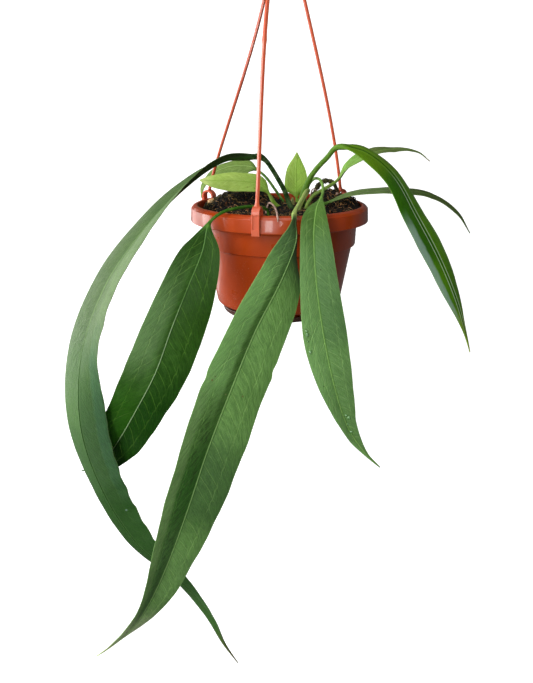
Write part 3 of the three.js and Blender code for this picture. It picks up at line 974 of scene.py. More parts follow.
@dataclass(frozen=True)
class WaterFinish:
    """Water on a green leaf, in painted light: painted shade round its rim, and the leaf's green painted in
    where it would show through.
    """

    name: str

    def material(self) -> bpy.types.Material:
        """Build the material."""
        shader = Shader(self.name)
        # Painted shade: the drop's rim is darkened where it turns from view.
        rim = shader.read("LayerWeight", "Facing", {"Blend": 0.4}).ramp(0.3, 0.75)
        cloud = shader.noise(shader.place(), 700, 1).ramp(0.4, 0.65)
        # The leaf's green is painted in where it would show through the clear water.
        clear = shader.mix(cloud, rgb(96, 146, 80), rgb(130, 176, 120))
        shader.set(
            Base_Color=shader.mix(rim, clear, rgb(34, 92, 14)),
            Roughness=0.05,
            Coat_Weight=1.0,
            Coat_Roughness=0.02,
        )
        return shader.material


@dataclass(frozen=True)
class StudioFinish:
    """The plain pale surface of the floor and backdrop."""

    name: str
    colour: Colour
    glow: float = 0.75

    def material(self) -> bpy.types.Material:
        """Build the material, which glows like a lit white wall."""
        shader = Shader(self.name)
        cloud = shader.noise(shader.place(), 1.5, 2)
        shader.set(
            Base_Color=shader.mix(cloud.ramp(0.3, 0.7), self.colour, scaled(self.colour, 1.02)),
            Roughness=0.95,
            Emission_Color=(1.0, 1.0, 1.0),
            Emission_Strength=self.glow,
        )
        return shader.material


class LeafTone(Enum):
    """The leaf colours of the plant, from its oldest leaves to its youngest; their zones hold much painted
    light and shade.
    """

    LONG = LeafFinish(
        "leaf_grey_green", upper=rgb(80, 107, 57), deep=rgb(59, 87, 44), vein=rgb(140, 170, 112),
        rib=rgb(34, 74, 14), flank_shading=rgb(112, 144, 90), under=rgb(38, 62, 24), petiole=rgb(26, 60, 14),
        tip=rgb(110, 104, 60), core=0.34, core_strength=0.95,
        rib_low=rgb(116, 146, 88), rib_change=0.37, flank_at=1.0, flank_end=1.0,
        flank_strength=0.25, lateral_strength=0.1, lateral_spacing=8.0, lean=1.8, streak=0.45, lines=0.5,
        # Painted light and shade: sheen bands on the near half, a lighter far strip, and the hanging lower
        # blade darker.
        zones=(
            Zone(rgb(108, 136, 87), 1, 0.1, 0.37, inner=0.2, strength=0.75, soft=0.1),
            Zone(rgb(70, 98, 50), 0, 0.27, 0.42, outer=0.5, strength=0.5),
            Zone(rgb(74, 111, 65), 0, 0.4, 1.2, strength=0.95, soft=0.1),
            Zone(rgb(76, 120, 88), 1, 0.38, 0.66, inner=0.6, strength=0.5),
            Zone(rgb(88, 124, 68), -1, 0.42, 0.56, strength=0.6),
            Zone(rgb(60, 96, 54), -1, 0.52, 0.64, strength=0.6),
            Zone(rgb(40, 82, 26), 0, 0.6, 0.84, strength=0.92),
            Zone(rgb(64, 110, 46), 0, 0.84, 1.2, strength=0.9, soft=0.05),
        ),
        # A painted highlight: a pale bluish spot low on the blade.
        marks=(Mark(360, 10, 1.3, rgb(150, 176, 170), 0.6),),
    )
    DARK = LeafFinish(
        "leaf_dark_green", upper=rgb(62, 104, 36), deep=rgb(38, 78, 16), vein=rgb(124, 168, 72),
        rib=rgb(170, 200, 150), flank_shading=rgb(20, 56, 6), under=rgb(84, 118, 62), petiole=rgb(56, 112, 22),
        tip=rgb(60, 100, 40), lateral_strength=0.6, core=0.32, rib_low=rgb(104, 148, 76), rib_change=0.28,
        # Painted light and shade: darker at the base under the collar, the right half shaded where it faces
        # from the light, a painted sheen on the left half, and a darker lower blade.
        zones=(
            Zone(rgb(42, 80, 20), 0, -1.0, 0.16),
            Zone(rgb(34, 74, 4), 1, -1.0, 0.36, soft=0.1),
            Zone(rgb(132, 174, 110), -1, 0.2, 0.5, inner=0.15, soft=0.12),
            Zone(rgb(96, 144, 70), -1, 0.1, 0.6, outer=0.3, strength=0.55),
            Zone(rgb(48, 108, 18), -1, 0.58, 1.2, strength=0.9, soft=0.14),
            Zone(rgb(14, 64, 0), 1, 0.5, 1.2, strength=0.94, soft=0.16),
        ),
    )
    BROAD = LeafFinish(
        "leaf_mid_green", upper=rgb(105, 148, 76), deep=rgb(82, 121, 58), vein=rgb(142, 186, 104),
        rib=rgb(146, 188, 112), flank_shading=rgb(34, 76, 18), under=rgb(96, 132, 76), petiole=rgb(184, 206, 116),
        tip=rgb(190, 206, 140), lateral_strength=0.42, core=0.42, core_strength=0.85, flank_strength=0.6,
        dip_shade=0.7, stripes=0.7,
        # Painted light and shade: a lit upper left, a shaded band beside the rib, the right half darker
        # where it turns from the light, and a darker base.
        zones=(
            Zone(rgb(134, 186, 106), -1, 0.08, 0.36, inner=0.24),
            Zone(rgb(62, 108, 40), -1, 0.08, 0.42, outer=0.2, strength=0.5),
            Zone(rgb(56, 113, 40), -1, 0.42, 0.62, outer=0.66),
            Zone(rgb(80, 126, 66), -1, 0.6, 0.86, outer=0.62, strength=0.8),
            Zone(rgb(118, 154, 94), -1, 0.34, 0.9, inner=0.68, strength=0.6),
            Zone(rgb(62, 97, 50), 1, 0.42, 0.6),
            Zone(rgb(70, 102, 60), 0, -1.0, 0.1, strength=0.9),
            Zone(rgb(104, 144, 82), 1, 0.62, 0.9, strength=0.6),
            Zone(rgb(190, 212, 158), 0, 0.85, 1.2),
        ),
        marks=(
            Mark(135, -18.6, 1.3, rgb(120, 84, 50)), Mark(143, -3, 0.9, rgb(150, 150, 100), 0.7),
            Mark(140.6, 9.3, 1.0, rgb(96, 72, 40)), Mark(132, -17.2, 0.8, rgb(80, 60, 30), 0.7),
        ),
    )
    FRONT = LeafFinish(
        "leaf_front_green", upper=rgb(132, 178, 100), deep=rgb(104, 152, 78), vein=rgb(150, 192, 108),
        rib=rgb(144, 190, 98), flank_shading=rgb(66, 116, 30), under=rgb(100, 138, 76), petiole=rgb(124, 170, 76),
        tip=rgb(104, 150, 60), lateral_strength=0.45, core=0.3,
        # Painted light and shade: the left half lighter where it faces the light, the right half darker.
        zones=(
            Zone(rgb(142, 194, 116), -1, 0.2, 1.0, strength=0.6),
            Zone(rgb(84, 123, 71), 1, -1.0, 0.55),
            Zone(rgb(98, 138, 78), 1, 0.55, 1.2),
            Zone(rgb(82, 121, 46), 0, -1.0, 0.18),
        ),
        marks=(
            Mark(71.6, 3.8, 0.7, rgb(60, 60, 30)), Mark(94.1, 13.1, 0.6, rgb(70, 60, 36)),
            Mark(95.8, 0.1, 0.6, rgb(60, 60, 30)), Mark(144.2, 0.4, 0.6, rgb(64, 60, 30)),
            Mark(152.1, 1.8, 0.6, rgb(60, 56, 30)), Mark(156, -10.3, 0.8, rgb(70, 64, 40)),
        ),
    )
    BRIGHT = LeafFinish(
        "leaf_bright_green", upper=rgb(86, 140, 6), deep=rgb(55, 107, 1), vein=rgb(120, 164, 60),
        # The flanking lines here are painted highlights on the ridges beside the midrib.
        rib=rgb(30, 78, 4), flank_shading=rgb(222, 240, 214), flank_shading_low=rgb(116, 164, 48), rib_change=0.24,
        under=rgb(110, 150, 70), petiole=rgb(86, 128, 36), tip=rgb(176, 198, 70), roughness=0.42,
        specular=0.2, coat=0.06, core=0.6, flank_at=2.6, flank_end=1.5, flank_width=0.6, flank_strength=0.85,
        lateral_strength=0.05, streak=0.4,
        # Painted light and shade: a shaded left half, a painted bluish sheen on its lower margin and a
        # painted sheen on the right margin.
        zones=(
            Zone(rgb(38, 94, 0), -1, 0.16, 0.6),
            Zone(rgb(88, 124, 0), 0, -1.0, 0.22, strength=0.7),
            Zone(rgb(156, 186, 170), -1, 0.42, 0.88, inner=0.62, strength=0.65),
            Zone(rgb(120, 170, 80), 1, 0.3, 0.9, inner=0.78, strength=0.5),
            Zone(rgb(142, 182, 40), 0, 0.84, 1.2, strength=0.9),
        ),
    )
    LIGHT = LeafFinish(
        "leaf_light_green", upper=rgb(142, 188, 96), deep=rgb(120, 166, 70), vein=rgb(166, 204, 116),
        rib=rgb(144, 182, 92), flank_shading=rgb(104, 148, 58), under=rgb(116, 140, 76), petiole=rgb(142, 174, 78),
        tip=rgb(170, 150, 120), lateral_strength=0.12, glow=0.12,
        zones=(Zone(rgb(104, 126, 60), 0, 0.36, 1.2, strength=0.95, soft=0.1),),
    )
    OLIVE = LeafFinish(
        "leaf_olive_green", upper=rgb(94, 124, 50), deep=rgb(72, 100, 36), vein=rgb(126, 158, 76),
        rib=rgb(118, 150, 76), flank_shading=rgb(66, 96, 34), under=rgb(96, 124, 56), petiole=rgb(72, 118, 34),
        tip=rgb(90, 118, 50), lateral_strength=0.1, lines=0.6,
        zones=(
            Zone(rgb(136, 166, 104), 0, -1.0, 0.4, strength=0.7, soft=0.12),
            Zone(rgb(70, 94, 30), 0, 0.5, 1.2, strength=0.9, soft=0.1),
        ),
    )
    BACK = LeafFinish(
        "leaf_back_green", upper=rgb(120, 150, 74), deep=rgb(96, 124, 54), vein=rgb(146, 174, 96),
        rib=rgb(134, 164, 86), flank_shading=rgb(84, 114, 46), under=rgb(104, 132, 62), petiole=rgb(72, 118, 34),
        tip=rgb(104, 134, 60), lateral_strength=0.1, lines=0.5,
    )
    YOUNG = LeafFinish(
        "leaf_young_green", upper=rgb(176, 206, 104), deep=rgb(156, 188, 84), vein=rgb(190, 214, 124),
        rib=rgb(124, 166, 50), flank_shading=rgb(168, 198, 104), under=rgb(160, 190, 96), petiole=rgb(134, 176, 58),
        tip=rgb(190, 206, 120), core=0.3, core_strength=0.6, flank_strength=0.2, lateral_strength=0.2,
        glow=0.12,
        zones=(
            Zone(rgb(146, 182, 76), 0, 0.1, 0.45, strength=0.6, soft=0.12),
            Zone(rgb(122, 162, 54), 0, -1.0, 0.2, strength=0.75, soft=0.12),
            Zone(rgb(206, 224, 140), 0, 0.86, 1.2, strength=0.7, soft=0.08),
        ),
        marks=(
            Mark(19.6, 4.8, 0.7, rgb(110, 96, 40), 0.8), Mark(12.8, 5.2, 0.9, rgb(104, 84, 36), 0.8),
            Mark(6.4, 2.3, 0.7, rgb(96, 80, 30), 0.8), Mark(25, -4.2, 0.5, rgb(120, 110, 50), 0.7),
        ),
    )
    UPRIGHT = LeafFinish(
        "leaf_upright_green", upper=rgb(168, 204, 96), deep=rgb(148, 184, 78), vein=rgb(182, 212, 116),
        rib=rgb(118, 162, 46), flank_shading=rgb(152, 188, 86), under=rgb(150, 184, 84), petiole=rgb(128, 172, 54),
        tip=rgb(170, 196, 100), core=0.3, core_strength=0.3, flank_strength=0.15, lateral_strength=0.2,
        glow=0.12,
        zones=(
            # Painted shade: the minus half is darkened so that it matches the other half under the lamps.
            Zone(rgb(136, 177, 62), -1, -1.0, 1.2, strength=0.8),
            Zone(rgb(122, 164, 52), 0, -1.0, 0.25, strength=0.7, soft=0.12),
        ),
    )


# The leaves

@dataclass
class Leaf:
    """One leaf: a round petiole that flattens into a thin folded blade with a midrib and waved edges.

    Petiole rows hold x, y, z and radius. Blade rows hold x, y, z, half width, roll and fold in degrees.
    Waves hold height, count and phase. Ruffle holds where along the blade they are highest, and over what
    share of it. Calm and far_fold weaken the waves and the fold of the half on the minus side. Pushes move
    the margin: each holds a place along the blade, a side, how far out and over what length.
    """

    node: str
    tone: LeafTone
    slot: str
    side: float
    waves: tuple[float, float, float]
    ruffle: tuple[float, float]
    petiole: Rows
    blade: Rows
    stem_depth: float = 9.0
    ring_spacing: float = 2.6
    across_steps: int = 13
    near_rib: tuple[float, ...] = (0.0, 0.25, 0.5, 0.85, 1.4, 2.3)
    least_width: float = 0.3
    flat_from: float = -4.0
    flat_to: float = 9.0
    thickness: float = 0.7
    camber: float = 0.05
    rib_above: tuple[float, float] = (0.4, 0.4)
    rib_below: tuple[float, float] = (0.6, 1.0)
    edge_turn: float = 86.0
    calm: float = 1.0
    far_fold: float = 1.0
    pushes: Rows = field(default_factory=list)

    def rows(self) -> Rows:
        """List the petiole's and blade's rows as one, from the buried root up."""
        roll = self.blade[0][4]
        stem = [(x, y, z, r, roll, 0.0) for x, y, z, r in self.petiole]
        x, y, z, *rest = stem[0]
        return [(x, y, z - self.stem_depth, *rest), *stem, *self.blade]

    def offsets(self, wide: np.ndarray) -> np.ndarray:
        """Give the distances from the midrib to the points on one half, close together at the rib.

        Args:
            wide: Half width at each ring.

        Returns:
            One row of distances for each ring.
        """
        inner = np.array(self.near_rib) * np.minimum(wide / 6, 1)[:, None]
        rest = np.linspace(0, 1, self.across_steps - len(self.near_rib) + 1)[1:]
        rest = 1 - (1 - rest) ** 1.25
        return np.concatenate([inner, inner[:, -1:] + (wide[:, None] - inner[:, -1:]) * rest], axis=1)

    def axes(self, curve: RowCurve, places: np.ndarray, roll: np.ndarray) -> tuple[np.ndarray, np.ndarray]:
        """Give the direction across the leaf and out of its upper face at each ring.

        Args:
            curve: The leaf's midrib.
            places: Lengths along it.
            roll: Its roll in degrees at each place.

        Returns:
            The directions across and out of the face.
        """
        tangent = curve.tangent(places, 1.5)
        side = math.radians(self.side)
        bearing = np.array([math.cos(side), math.sin(side), 0])
        level = unit(bearing - (tangent @ bearing)[:, None] * tangent)
        face = np.cross(tangent, level)
        turn = np.radians(roll)[:, None]
        return level * np.cos(turn) + face * np.sin(turn), face * np.cos(turn) - level * np.sin(turn)

    def wave(self, share: np.ndarray, wide: np.ndarray, reach: np.ndarray) -> np.ndarray:
        """Work out how far the waves lift the blade.

        Args:
            share: Place across the blade, from minus one to one.
            wide: Half width at each ring.
            reach: Share of the blade's length at each ring.

        Returns:
            The lift at each point.
        """
        height, count, phase = self.waves
        middle, spread = self.ruffle
        away = np.abs(share)
        height = height * (0.15 + np.exp(-(((reach - middle) / spread) ** 2)))[:, None]
        height = height * np.where(share < 0, self.calm, 1.0)
        beat = count * reach[:, None] + phase + np.where(share < 0, 0.37, 0)
        wave = height * away**1.4 * np.minimum(wide / 8, 1)[:, None] * np.sin(2 * math.pi * beat)
        return wave + 0.3 * height * away**3 * np.sin(2 * math.pi * (2.3 * beat + 0.4))

    def build(self) -> Thing:
        """Build the leaf's mesh and keep what its finish reads."""
        curve = RowCurve(self.rows())
        start = float(curve.marks[len(self.petiole) + 1])
        places = np.linspace(0, curve.length, int(curve.length / self.ring_spacing))
        values = curve.at(places)
        wide = np.maximum(values[:, 3], self.least_width)
        axes = self.axes(curve, places, values[:, 4])
        along = places - start
        reach = np.clip(along, 0, None) / (curve.length - start)
        flat = smoothstep(start + self.flat_from, start + self.flat_to, places)

        half = self.offsets(wide)
        distance = np.concatenate([-half[:, :0:-1], half], axis=1)
        share = distance / wide[:, None]
        away = np.abs(share)
        lift = self.wave(share, wide, reach)
        for at, edge, push, spread in self.pushes:
            swell = push * np.exp(-(((along - at) / spread) ** 2))[:, None]
            distance = distance + np.where(share * edge > 0, swell * share * away**2, 0)
        bend = np.radians(values[:, 5])[:, None] * np.where(share < 0, self.far_fold, 1.0)
        lift = np.abs(distance) * np.sin(bend) + lift + 4 * self.camber * wide[:, None] * away * (1 - away)
        spread_out = distance * np.cos(bend)
        slim = np.minimum(wide / 5, 1)[:, None]
        body = self.thickness / 2 * (1 - 0.35 * away**4)
        turn = share * math.radians(self.edge_turn)
        blend = flat[:, None]
        skins = []
        for side, (rib_height, rib_width) in ((1, self.rib_above), (-1, self.rib_below)):
            rib = rib_height * np.exp(-((distance / rib_width) ** 2)) * slim
            x = np.sin(turn) * wide[:, None] * (1 - blend) + spread_out * blend
            y = side * np.cos(turn) * wide[:, None] * (1 - blend) + (lift + side * (body + rib)) * blend
            across, out = (axis[:, None, :] for axis in axes)
            skins.append(values[:, None, :3] + across * x[..., None] + out * y[..., None])
        top, below = skins[0], skins[1][:, ::-1]
        self.grid = (along, share, top)

        leaf = skinned(self.node + "_fine", np.concatenate([top, below], axis=1), self.tone.value, sharp=65)
        per_ring = 2 * share.shape[1]
        store(leaf, "across", np.concatenate([share, share[:, ::-1]], axis=1))
        store(leaf, "under", np.concatenate([np.zeros_like(share), np.ones_like(share)], axis=1))
        for name, numbers in (("along", along * MM), ("reach", reach), ("half", wide * MM), ("blade", flat)):
            store(leaf, name, np.repeat(numbers, per_ring))
        return leaf

    def spot(self, along: float, share: float) -> tuple[np.ndarray, np.ndarray]:
        """Find a place on the built leaf's upper face, which is turned to the viewer.

        Args:
            along: Distance from the blade's base in millimetres.
            share: Place across it, from minus one to one.

        Returns:
            The point and the outward direction there.
        """
        marks, shares, top = self.grid
        i = int(np.clip(np.searchsorted(marks, along), 1, len(marks) - 2))
        j = int(np.clip(np.searchsorted(shares[i], share), 1, shares.shape[1] - 2))
        normal = unit(np.cross(top[i, j + 1] - top[i, j - 1], top[i + 1, j] - top[i - 1, j]))
        return top[i, j], -normal * np.sign(normal[1])


LEAVES = [
    Leaf(
        "leaf_long_left", LeafTone.LONG, "leaf_grey_green", -90, (0.7, 25, 0.3), (0.62, 0.1),
        petiole=[
            (11.5, -3, -7, 2.4), (8, -4, 0.5, 2.2), (4.5, -6, 10, 2.0), (-2.5, -9, 22.5, 1.9),
            (-10, -13, 34, 1.9), (-13, -15, 37, 2.1), (-16, -17, 38.8, 2.7),
        ],
        blade=[
            (-21, -19, 39, 2.5, 55, 7), (-46.5, -29, 35.5, 9, 9, 19), (-75, -43.5, 17, 14.5, -11, 16),
            (-105, -60, -12.5, 18.5, -22, 9), (-134, -77, -52, 19.5, -33, 5),
            (-153.5, -92, -102.5, 21.5, -44, -1), (-158, -102, -160, 20.5, -70, -28),
            (-145.5, -105.5, -218, 18, -73, -32), (-120.5, -109, -268, 15.5, -69, -20),
            (-85, -112, -305.5, 9.5, -61, -6), (-60, -113, -343, 8, -50, 17),
            (-48.5, -112, -378, 3, -47, 25), (-37.5, -110, -403.5, 0.4, -54, 18),
        ],
        calm=0.15, far_fold=0.8, pushes=[(190, 1, 1.5, 7), (176, 1, -0.8, 9)],
    ),
    Leaf(
        "leaf_broad_left", LeafTone.DARK, "leaf_dark_green", -45, (0.7, 9, 0.1), (0.7, 0.25),
        petiole=[
            (-10, -33, -2, 1.2), (-14.5, -38, 1.5, 1.2), (-21.5, -43, 3, 1.2), (-28, -49, 3.5, 1.2),
            (-35, -57, 3.5, 1.2), (-42.5, -64.5, 2.5, 1.2), (-49.5, -69.5, -1, 1.2),
        ],
        blade=[
            (-54.5, -72, -6.5, 2, -40, 13), (-59, -79, -25, 15, -46, 21), (-70.5, -83.5, -51, 22, -61, 22),
            (-84.5, -86, -83.5, 25.5, -68, 16), (-99, -86, -120, 25.5, -66, 6),
            (-117.5, -84.5, -154.5, 22.5, -61, 7), (-135.5, -82, -185, 19, -53, 12),
            (-150, -80, -205.5, 10.5, -49, 10), (-162, -78.5, -213.5, 1.6, -48, 8),
            (-171, -78, -217, 0.4, -48, 6),
        ],
    ),
    Leaf(
        "leaf_broad_front", LeafTone.BROAD, "leaf_mid_green", 0, (0.5, 9, 0.6), (0.45, 0.3),
        petiole=[
            (15.5, -14, -6, 2.0), (17.5, -13.5, 1, 1.8), (21.5, -15, 8.5, 1.6), (23.2, -21, 12.8, 1.5),
            (20.5, -31, 13, 1.5), (16.5, -48, 9.5, 1.5), (12, -65, 5.5, 1.6),
        ],
        blade=[
            (9, -80, 1.5, 2.5, -72, 11), (9.5, -98, -13.5, 11, -59, -25), (-1, -115, -37.5, 18.5, -36, 1),
            (-19, -128.5, -70, 23, -28, 15), (-36, -139.5, -109.5, 24.5, -24, 12),
            (-53.5, -147.5, -154, 25.5, -24, 21), (-69, -151, -200.5, 23.5, -24, 19),
            (-85, -151, -246, 19, -26, 20), (-102, -148.5, -287.5, 14.5, -31, 26),
            (-120, -145, -321.5, 9.5, -38, 8), (-140, -141, -346.5, 3, -37, -5),
            (-156.5, -138, -363, 0.4, -30, 6),
        ],
        pushes=[(116, 1, -0.9, 4), (122, 1, 0.6, 4), (135, -1, -1.0, 4)],
    ),
    Leaf(
        "leaf_front_right", LeafTone.FRONT, "leaf_mid_green", 0, (0.35, 8, 0.4), (0.75, 0.2),
        petiole=[
            (21.5, 11, -6, 1.4), (22.5, 10, 4, 1.3), (25.5, 8, 14.5, 1.2), (29, 4, 19.5, 1.2),
            (32.2, -4, 20.5, 1.15), (33.8, -16, 19.5, 1.15), (34, -30, 16.5, 1.15), (33, -42, 13.5, 1.15),
        ],
        blade=[
            (31, -52, 10.5, 1.5, 26, 7), (26, -70.5, 5, 6.5, 8, 10), (22.5, -93, -12.5, 12.5, -15, 24),
            (25, -103.5, -46.5, 16, -17, 22), (31.5, -107.5, -85.5, 17.5, -18, 14),
            (40.5, -109, -123.5, 14.5, -25, 21), (52, -108, -157.5, 8, -33, 30),
            (67.5, -105.5, -182, 2, -24, 20), (81, -103, -197, 0.4, -6, 8),
        ],
    ),
    Leaf(
        "leaf_arch_right", LeafTone.BRIGHT, "leaf_bright_green", 90, (0.15, 6, 0.2), (0.5, 0.3),
        petiole=[
            (18, 4, -4, 2.9), (19.5, 2, 4, 2.7), (21.5, 0, 11, 2.5), (25.5, -3, 21, 2.3),
            (31.5, -7, 30, 2.15), (39, -11, 38.5, 2.1), (44, -14, 45, 2.2),
        ],
        blade=[
            (49.5, -17, 46.5, 3, 22, 12), (68, -24.5, 42.5, 10, 28, -7), (89, -34.5, 25.5, 14, 31, -7),
            (107, -44, -3.5, 15.5, 38, -8), (125.8, -51.5, -35.5, 14.8, 43, -7),
            (141.5, -56, -67.5, 10.5, 42, -9), (152, -57.5, -95.5, 3.5, 34, -1),
            (158.5, -58, -114.5, 0.4, 35, 10),
        ],
    ),
    Leaf(
        "leaf_back_right", LeafTone.LIGHT, "leaf_light_green", 90, (0.3, 4, 0.2), (0.6, 0.3),
        petiole=[
            (22.5, -3, -5.5, 1.7), (25, -1, 1, 1.6), (29.5, 3, 6, 1.5), (38.5, 9, 10.5, 1.5),
            (46, 14, 14, 1.5),
        ],
        blade=[
            (51.5, 19, 17.5, 1.5, -5, 15), (62.5, 26.5, 28.5, 7.5, 14, 10), (82.5, 39.5, 38, 10.5, 14, 8),
            (107.5, 54, 41, 8.5, 10, 2), (131, 65, 38, 4, 7, 3), (144, 70, 29.5, 0.4, 8, 7),
        ],
    ),
    Leaf(
        "leaf_strap_right", LeafTone.OLIVE, "leaf_grey_green", 90, (0.2, 5, 0.2), (0.5, 0.3),
        petiole=[(26.5, -9, -5.5, 1.7), (31.5, -9, -1.5, 1.6), (36.5, -8.5, 0, 1.5)],
        blade=[
            (40, -8, 1, 1.5, 10, 6), (60, -8.5, 8.5, 7, 7, 2), (92.5, -4, 11.5, 11, 7, -4),
            (128.5, 3, 6, 10, 9, 2), (156, 7.5, -10.5, 4.5, 20, 9), (169.5, 9, -27.5, 0.4, 25, 1),
        ],
    ),
    Leaf(
        "leaf_back_left", LeafTone.BACK, "leaf_grey_green", -90, (0.3, 3, 0.2), (0.5, 0.3),
        petiole=[
            (10.5, 12, -9.5, 1.5), (6, 14, -4, 1.4), (1, 17, 3, 1.3), (-4, 21, 9.5, 1.2), (-9, 25, 16, 1.2),
            (-14, 29, 21, 1.2),
        ],
        blade=[
            (-20.5, 34, 25, 1.5, -60, -4), (-29.5, 37.5, 27.5, 8, -53, -14), (-44.5, 43, 26.5, 7, -48, -11),
            (-60, 48, 20, 4.5, -47, 2), (-70, 47.5, 8.5, 2.5, -49, 4), (-71.5, 46, -1.5, 0.4, -50, 1),
        ],
    ),
    Leaf(
        "leaf_young_left", LeafTone.YOUNG, "leaf_young_green", -90, (0.25, 3, 0.2), (0.5, 0.3),
        petiole=[(6, 2, -8, 1.9), (2, 1, -5, 1.8), (-3, 0, -1.5, 1.7), (-7, -1, 4, 1.6)],
        blade=[
            (-10, -2, 9.5, 1.5, -58, 12), (-16.5, -3, 15.5, 7, -58, 8), (-30, -4, 18, 8.5, -57, -5),
            (-45, -3.5, 18.5, 8, -59, -8), (-59, -2, 18.5, 4.5, -61, -4), (-67.5, -1, 19, 0.4, -64, 4),
        ],
    ),
    Leaf(
        "leaf_young_upright", LeafTone.UPRIGHT, "leaf_young_green", 180, (0.2, 2, 0.2), (0.5, 0.3),
        petiole=[(18, 18, -7.5, 1.8), (17, 18, -3.5, 1.7), (16, 19, 0.5, 1.6)],
        blade=[
            (15.5, 20, 3.5, 1.5, -4, 7), (15, 21.5, 8.5, 9, -2, 7), (15, 23.5, 17, 10, 2, 8),
            (15, 25.5, 26.5, 8, 3, 8), (15.5, 27, 34.5, 3.5, 2, 7), (15.5, 27, 40, 0.4, 0, 6),
        ],
    ),
]


@dataclass
class Dew:
    """Drops of water standing on a leaf that faces the viewer.

    Each drop has its millimetres along the blade, its share across it and its radius.
    """

    drops: Rows
    tilts: tuple[float, ...] = (-50, -20, 5, 30, 55, 78)
    flatness: float = 0.6
    rise: float = 0.25
    sides: int = 12

    def build(self, leaf: Leaf) -> Thing:
        """Set the drops, flattened, on the built leaf.

        Args:
            leaf: The leaf that they stand on.

        Returns:
            The drops as one piece.
        """
        tilts = np.radians(self.tilts)
        drop = np.array([
            circle(math.cos(tilt), self.flatness * math.sin(tilt) + self.rise, self.sides) for tilt in tilts
        ])
        things = []
        for along, share, radius in self.drops:
            place, out = leaf.spot(along, share)
            turn = Vector(out).to_track_quat("Z", "Y").to_matrix()
            things.append(skinned("drop", drop * radius @ np.array(turn).T + place, WATER, 180))
        return dress(join("dew_drops", things), WATER)


WATER = WaterFinish("dew")
DEW = Dew([
    (110.5, -0.9, 1.0), (113.6, -0.88, 1.5), (119, -0.88, 0.8), (125.7, -0.86, 1.4), (186, 0.16, 1.1),
    (189.6, 0.24, 1.5), (195.6, 0.1, 0.9), (201.5, 0.12, 1.3),
])


# The pot, its tray and its hanger

POT_PLASTIC = MouldedPlastic("pot_plastic", rgb(178, 64, 10), rgb(152, 48, 5), 0.32)
TRAY_PLASTIC = MouldedPlastic("tray_plastic", rgb(74, 40, 30), rgb(54, 32, 26), 0.45, coat=0.1)
HANGER_PLASTIC = MouldedPlastic("hanger_plastic", rgb(206, 92, 58), rgb(186, 72, 42), 0.34, coat=0.4)


@dataclass
class Pot:
    """The pot and its drip tray, turned from their outlines of radius and height."""

    rim: float = 70.0
    collar: float = 75.0
    collar_flare: float = 0.8
    collar_height: float = 13.3
    under_rim: float = 71.7
    wall: float = 1.8
    band: float = 66.3
    step_height: float = 32.7
    body_top: float = 63.0
    body_base: float = 54.4
    body_height: float = 84.0
    neck: float = 46.0
    neck_depth: float = 4.5
    tray: float = 51.0
    tray_top: float = 87.0
    tray_height: float = 92.0
    gap: float = 0.35
    sides: int = 160

    def build_pot(self) -> Thing:
        """Turn the pot, with rounded corners on its collar, step and base."""
        flared = self.collar + self.collar_flare
        collar_foot, step = -self.collar_height, -self.step_height
        floor = self.wall - self.body_height
        base = -self.body_height - self.neck_depth
        corners = [
            (0, base, 0), (self.neck, base, 0.8), (self.neck, -self.body_height, 0.5),
            (self.body_base + 0.3, -self.body_height, 2.2), (self.body_top, step - 1.0, 0.2),
            (self.body_top - 0.5, step - 0.5, 0.2), (self.body_top - 0.5, step, 0.1),
            (self.band - 0.5, step, 0.5), (self.band, collar_foot - 2, 2.0),
            (self.under_rim - 0.1, collar_foot + 1.2, 1.0), (self.under_rim + 0.1, -3.4, 0.8),
            (self.under_rim + 1.7, -3.6, 0.6), (flared - self.wall, collar_foot, 0.3),
            (flared, collar_foot, 0.7), (self.collar + 0.1, -2.7, 0.8), (self.collar - 1.6, -0.9, 1.2),
            (self.rim + 1.4, 0, 0.8), (self.rim, -0.1, 0.4), (self.rim - 0.2, -1, 0.3),
            (self.rim - 0.8, collar_foot + 2, 1.0),
            (self.band - self.wall, collar_foot, 1.0), (self.band - 0.5 - self.wall, step + 1.6, 0.8),
            (self.body_top - self.wall, step - 1.6, 0.8), (self.body_base - self.wall, floor, 1.0),
            (0, floor, 0),
        ]
        return turned("pot_turned", rounded(corners), POT_PLASTIC, self.sides)

    def build_tray(self) -> Thing:
        """Turn the drip tray that snaps round the pot's neck."""
        lip = self.tray - self.wall
        seat = -self.body_height - self.neck_depth - self.gap
        corners = [
            (0, -self.tray_height, 0), (self.tray - 1.8, -self.tray_height, 1.6),
            (self.tray, -self.tray_top, 0.6), (lip, -self.tray_top, 0.5), (lip - 0.8, seat, 0.4),
            (0, seat, 0),
        ]
        return turned("tray_turned", rounded(corners), TRAY_PLASTIC, self.sides)


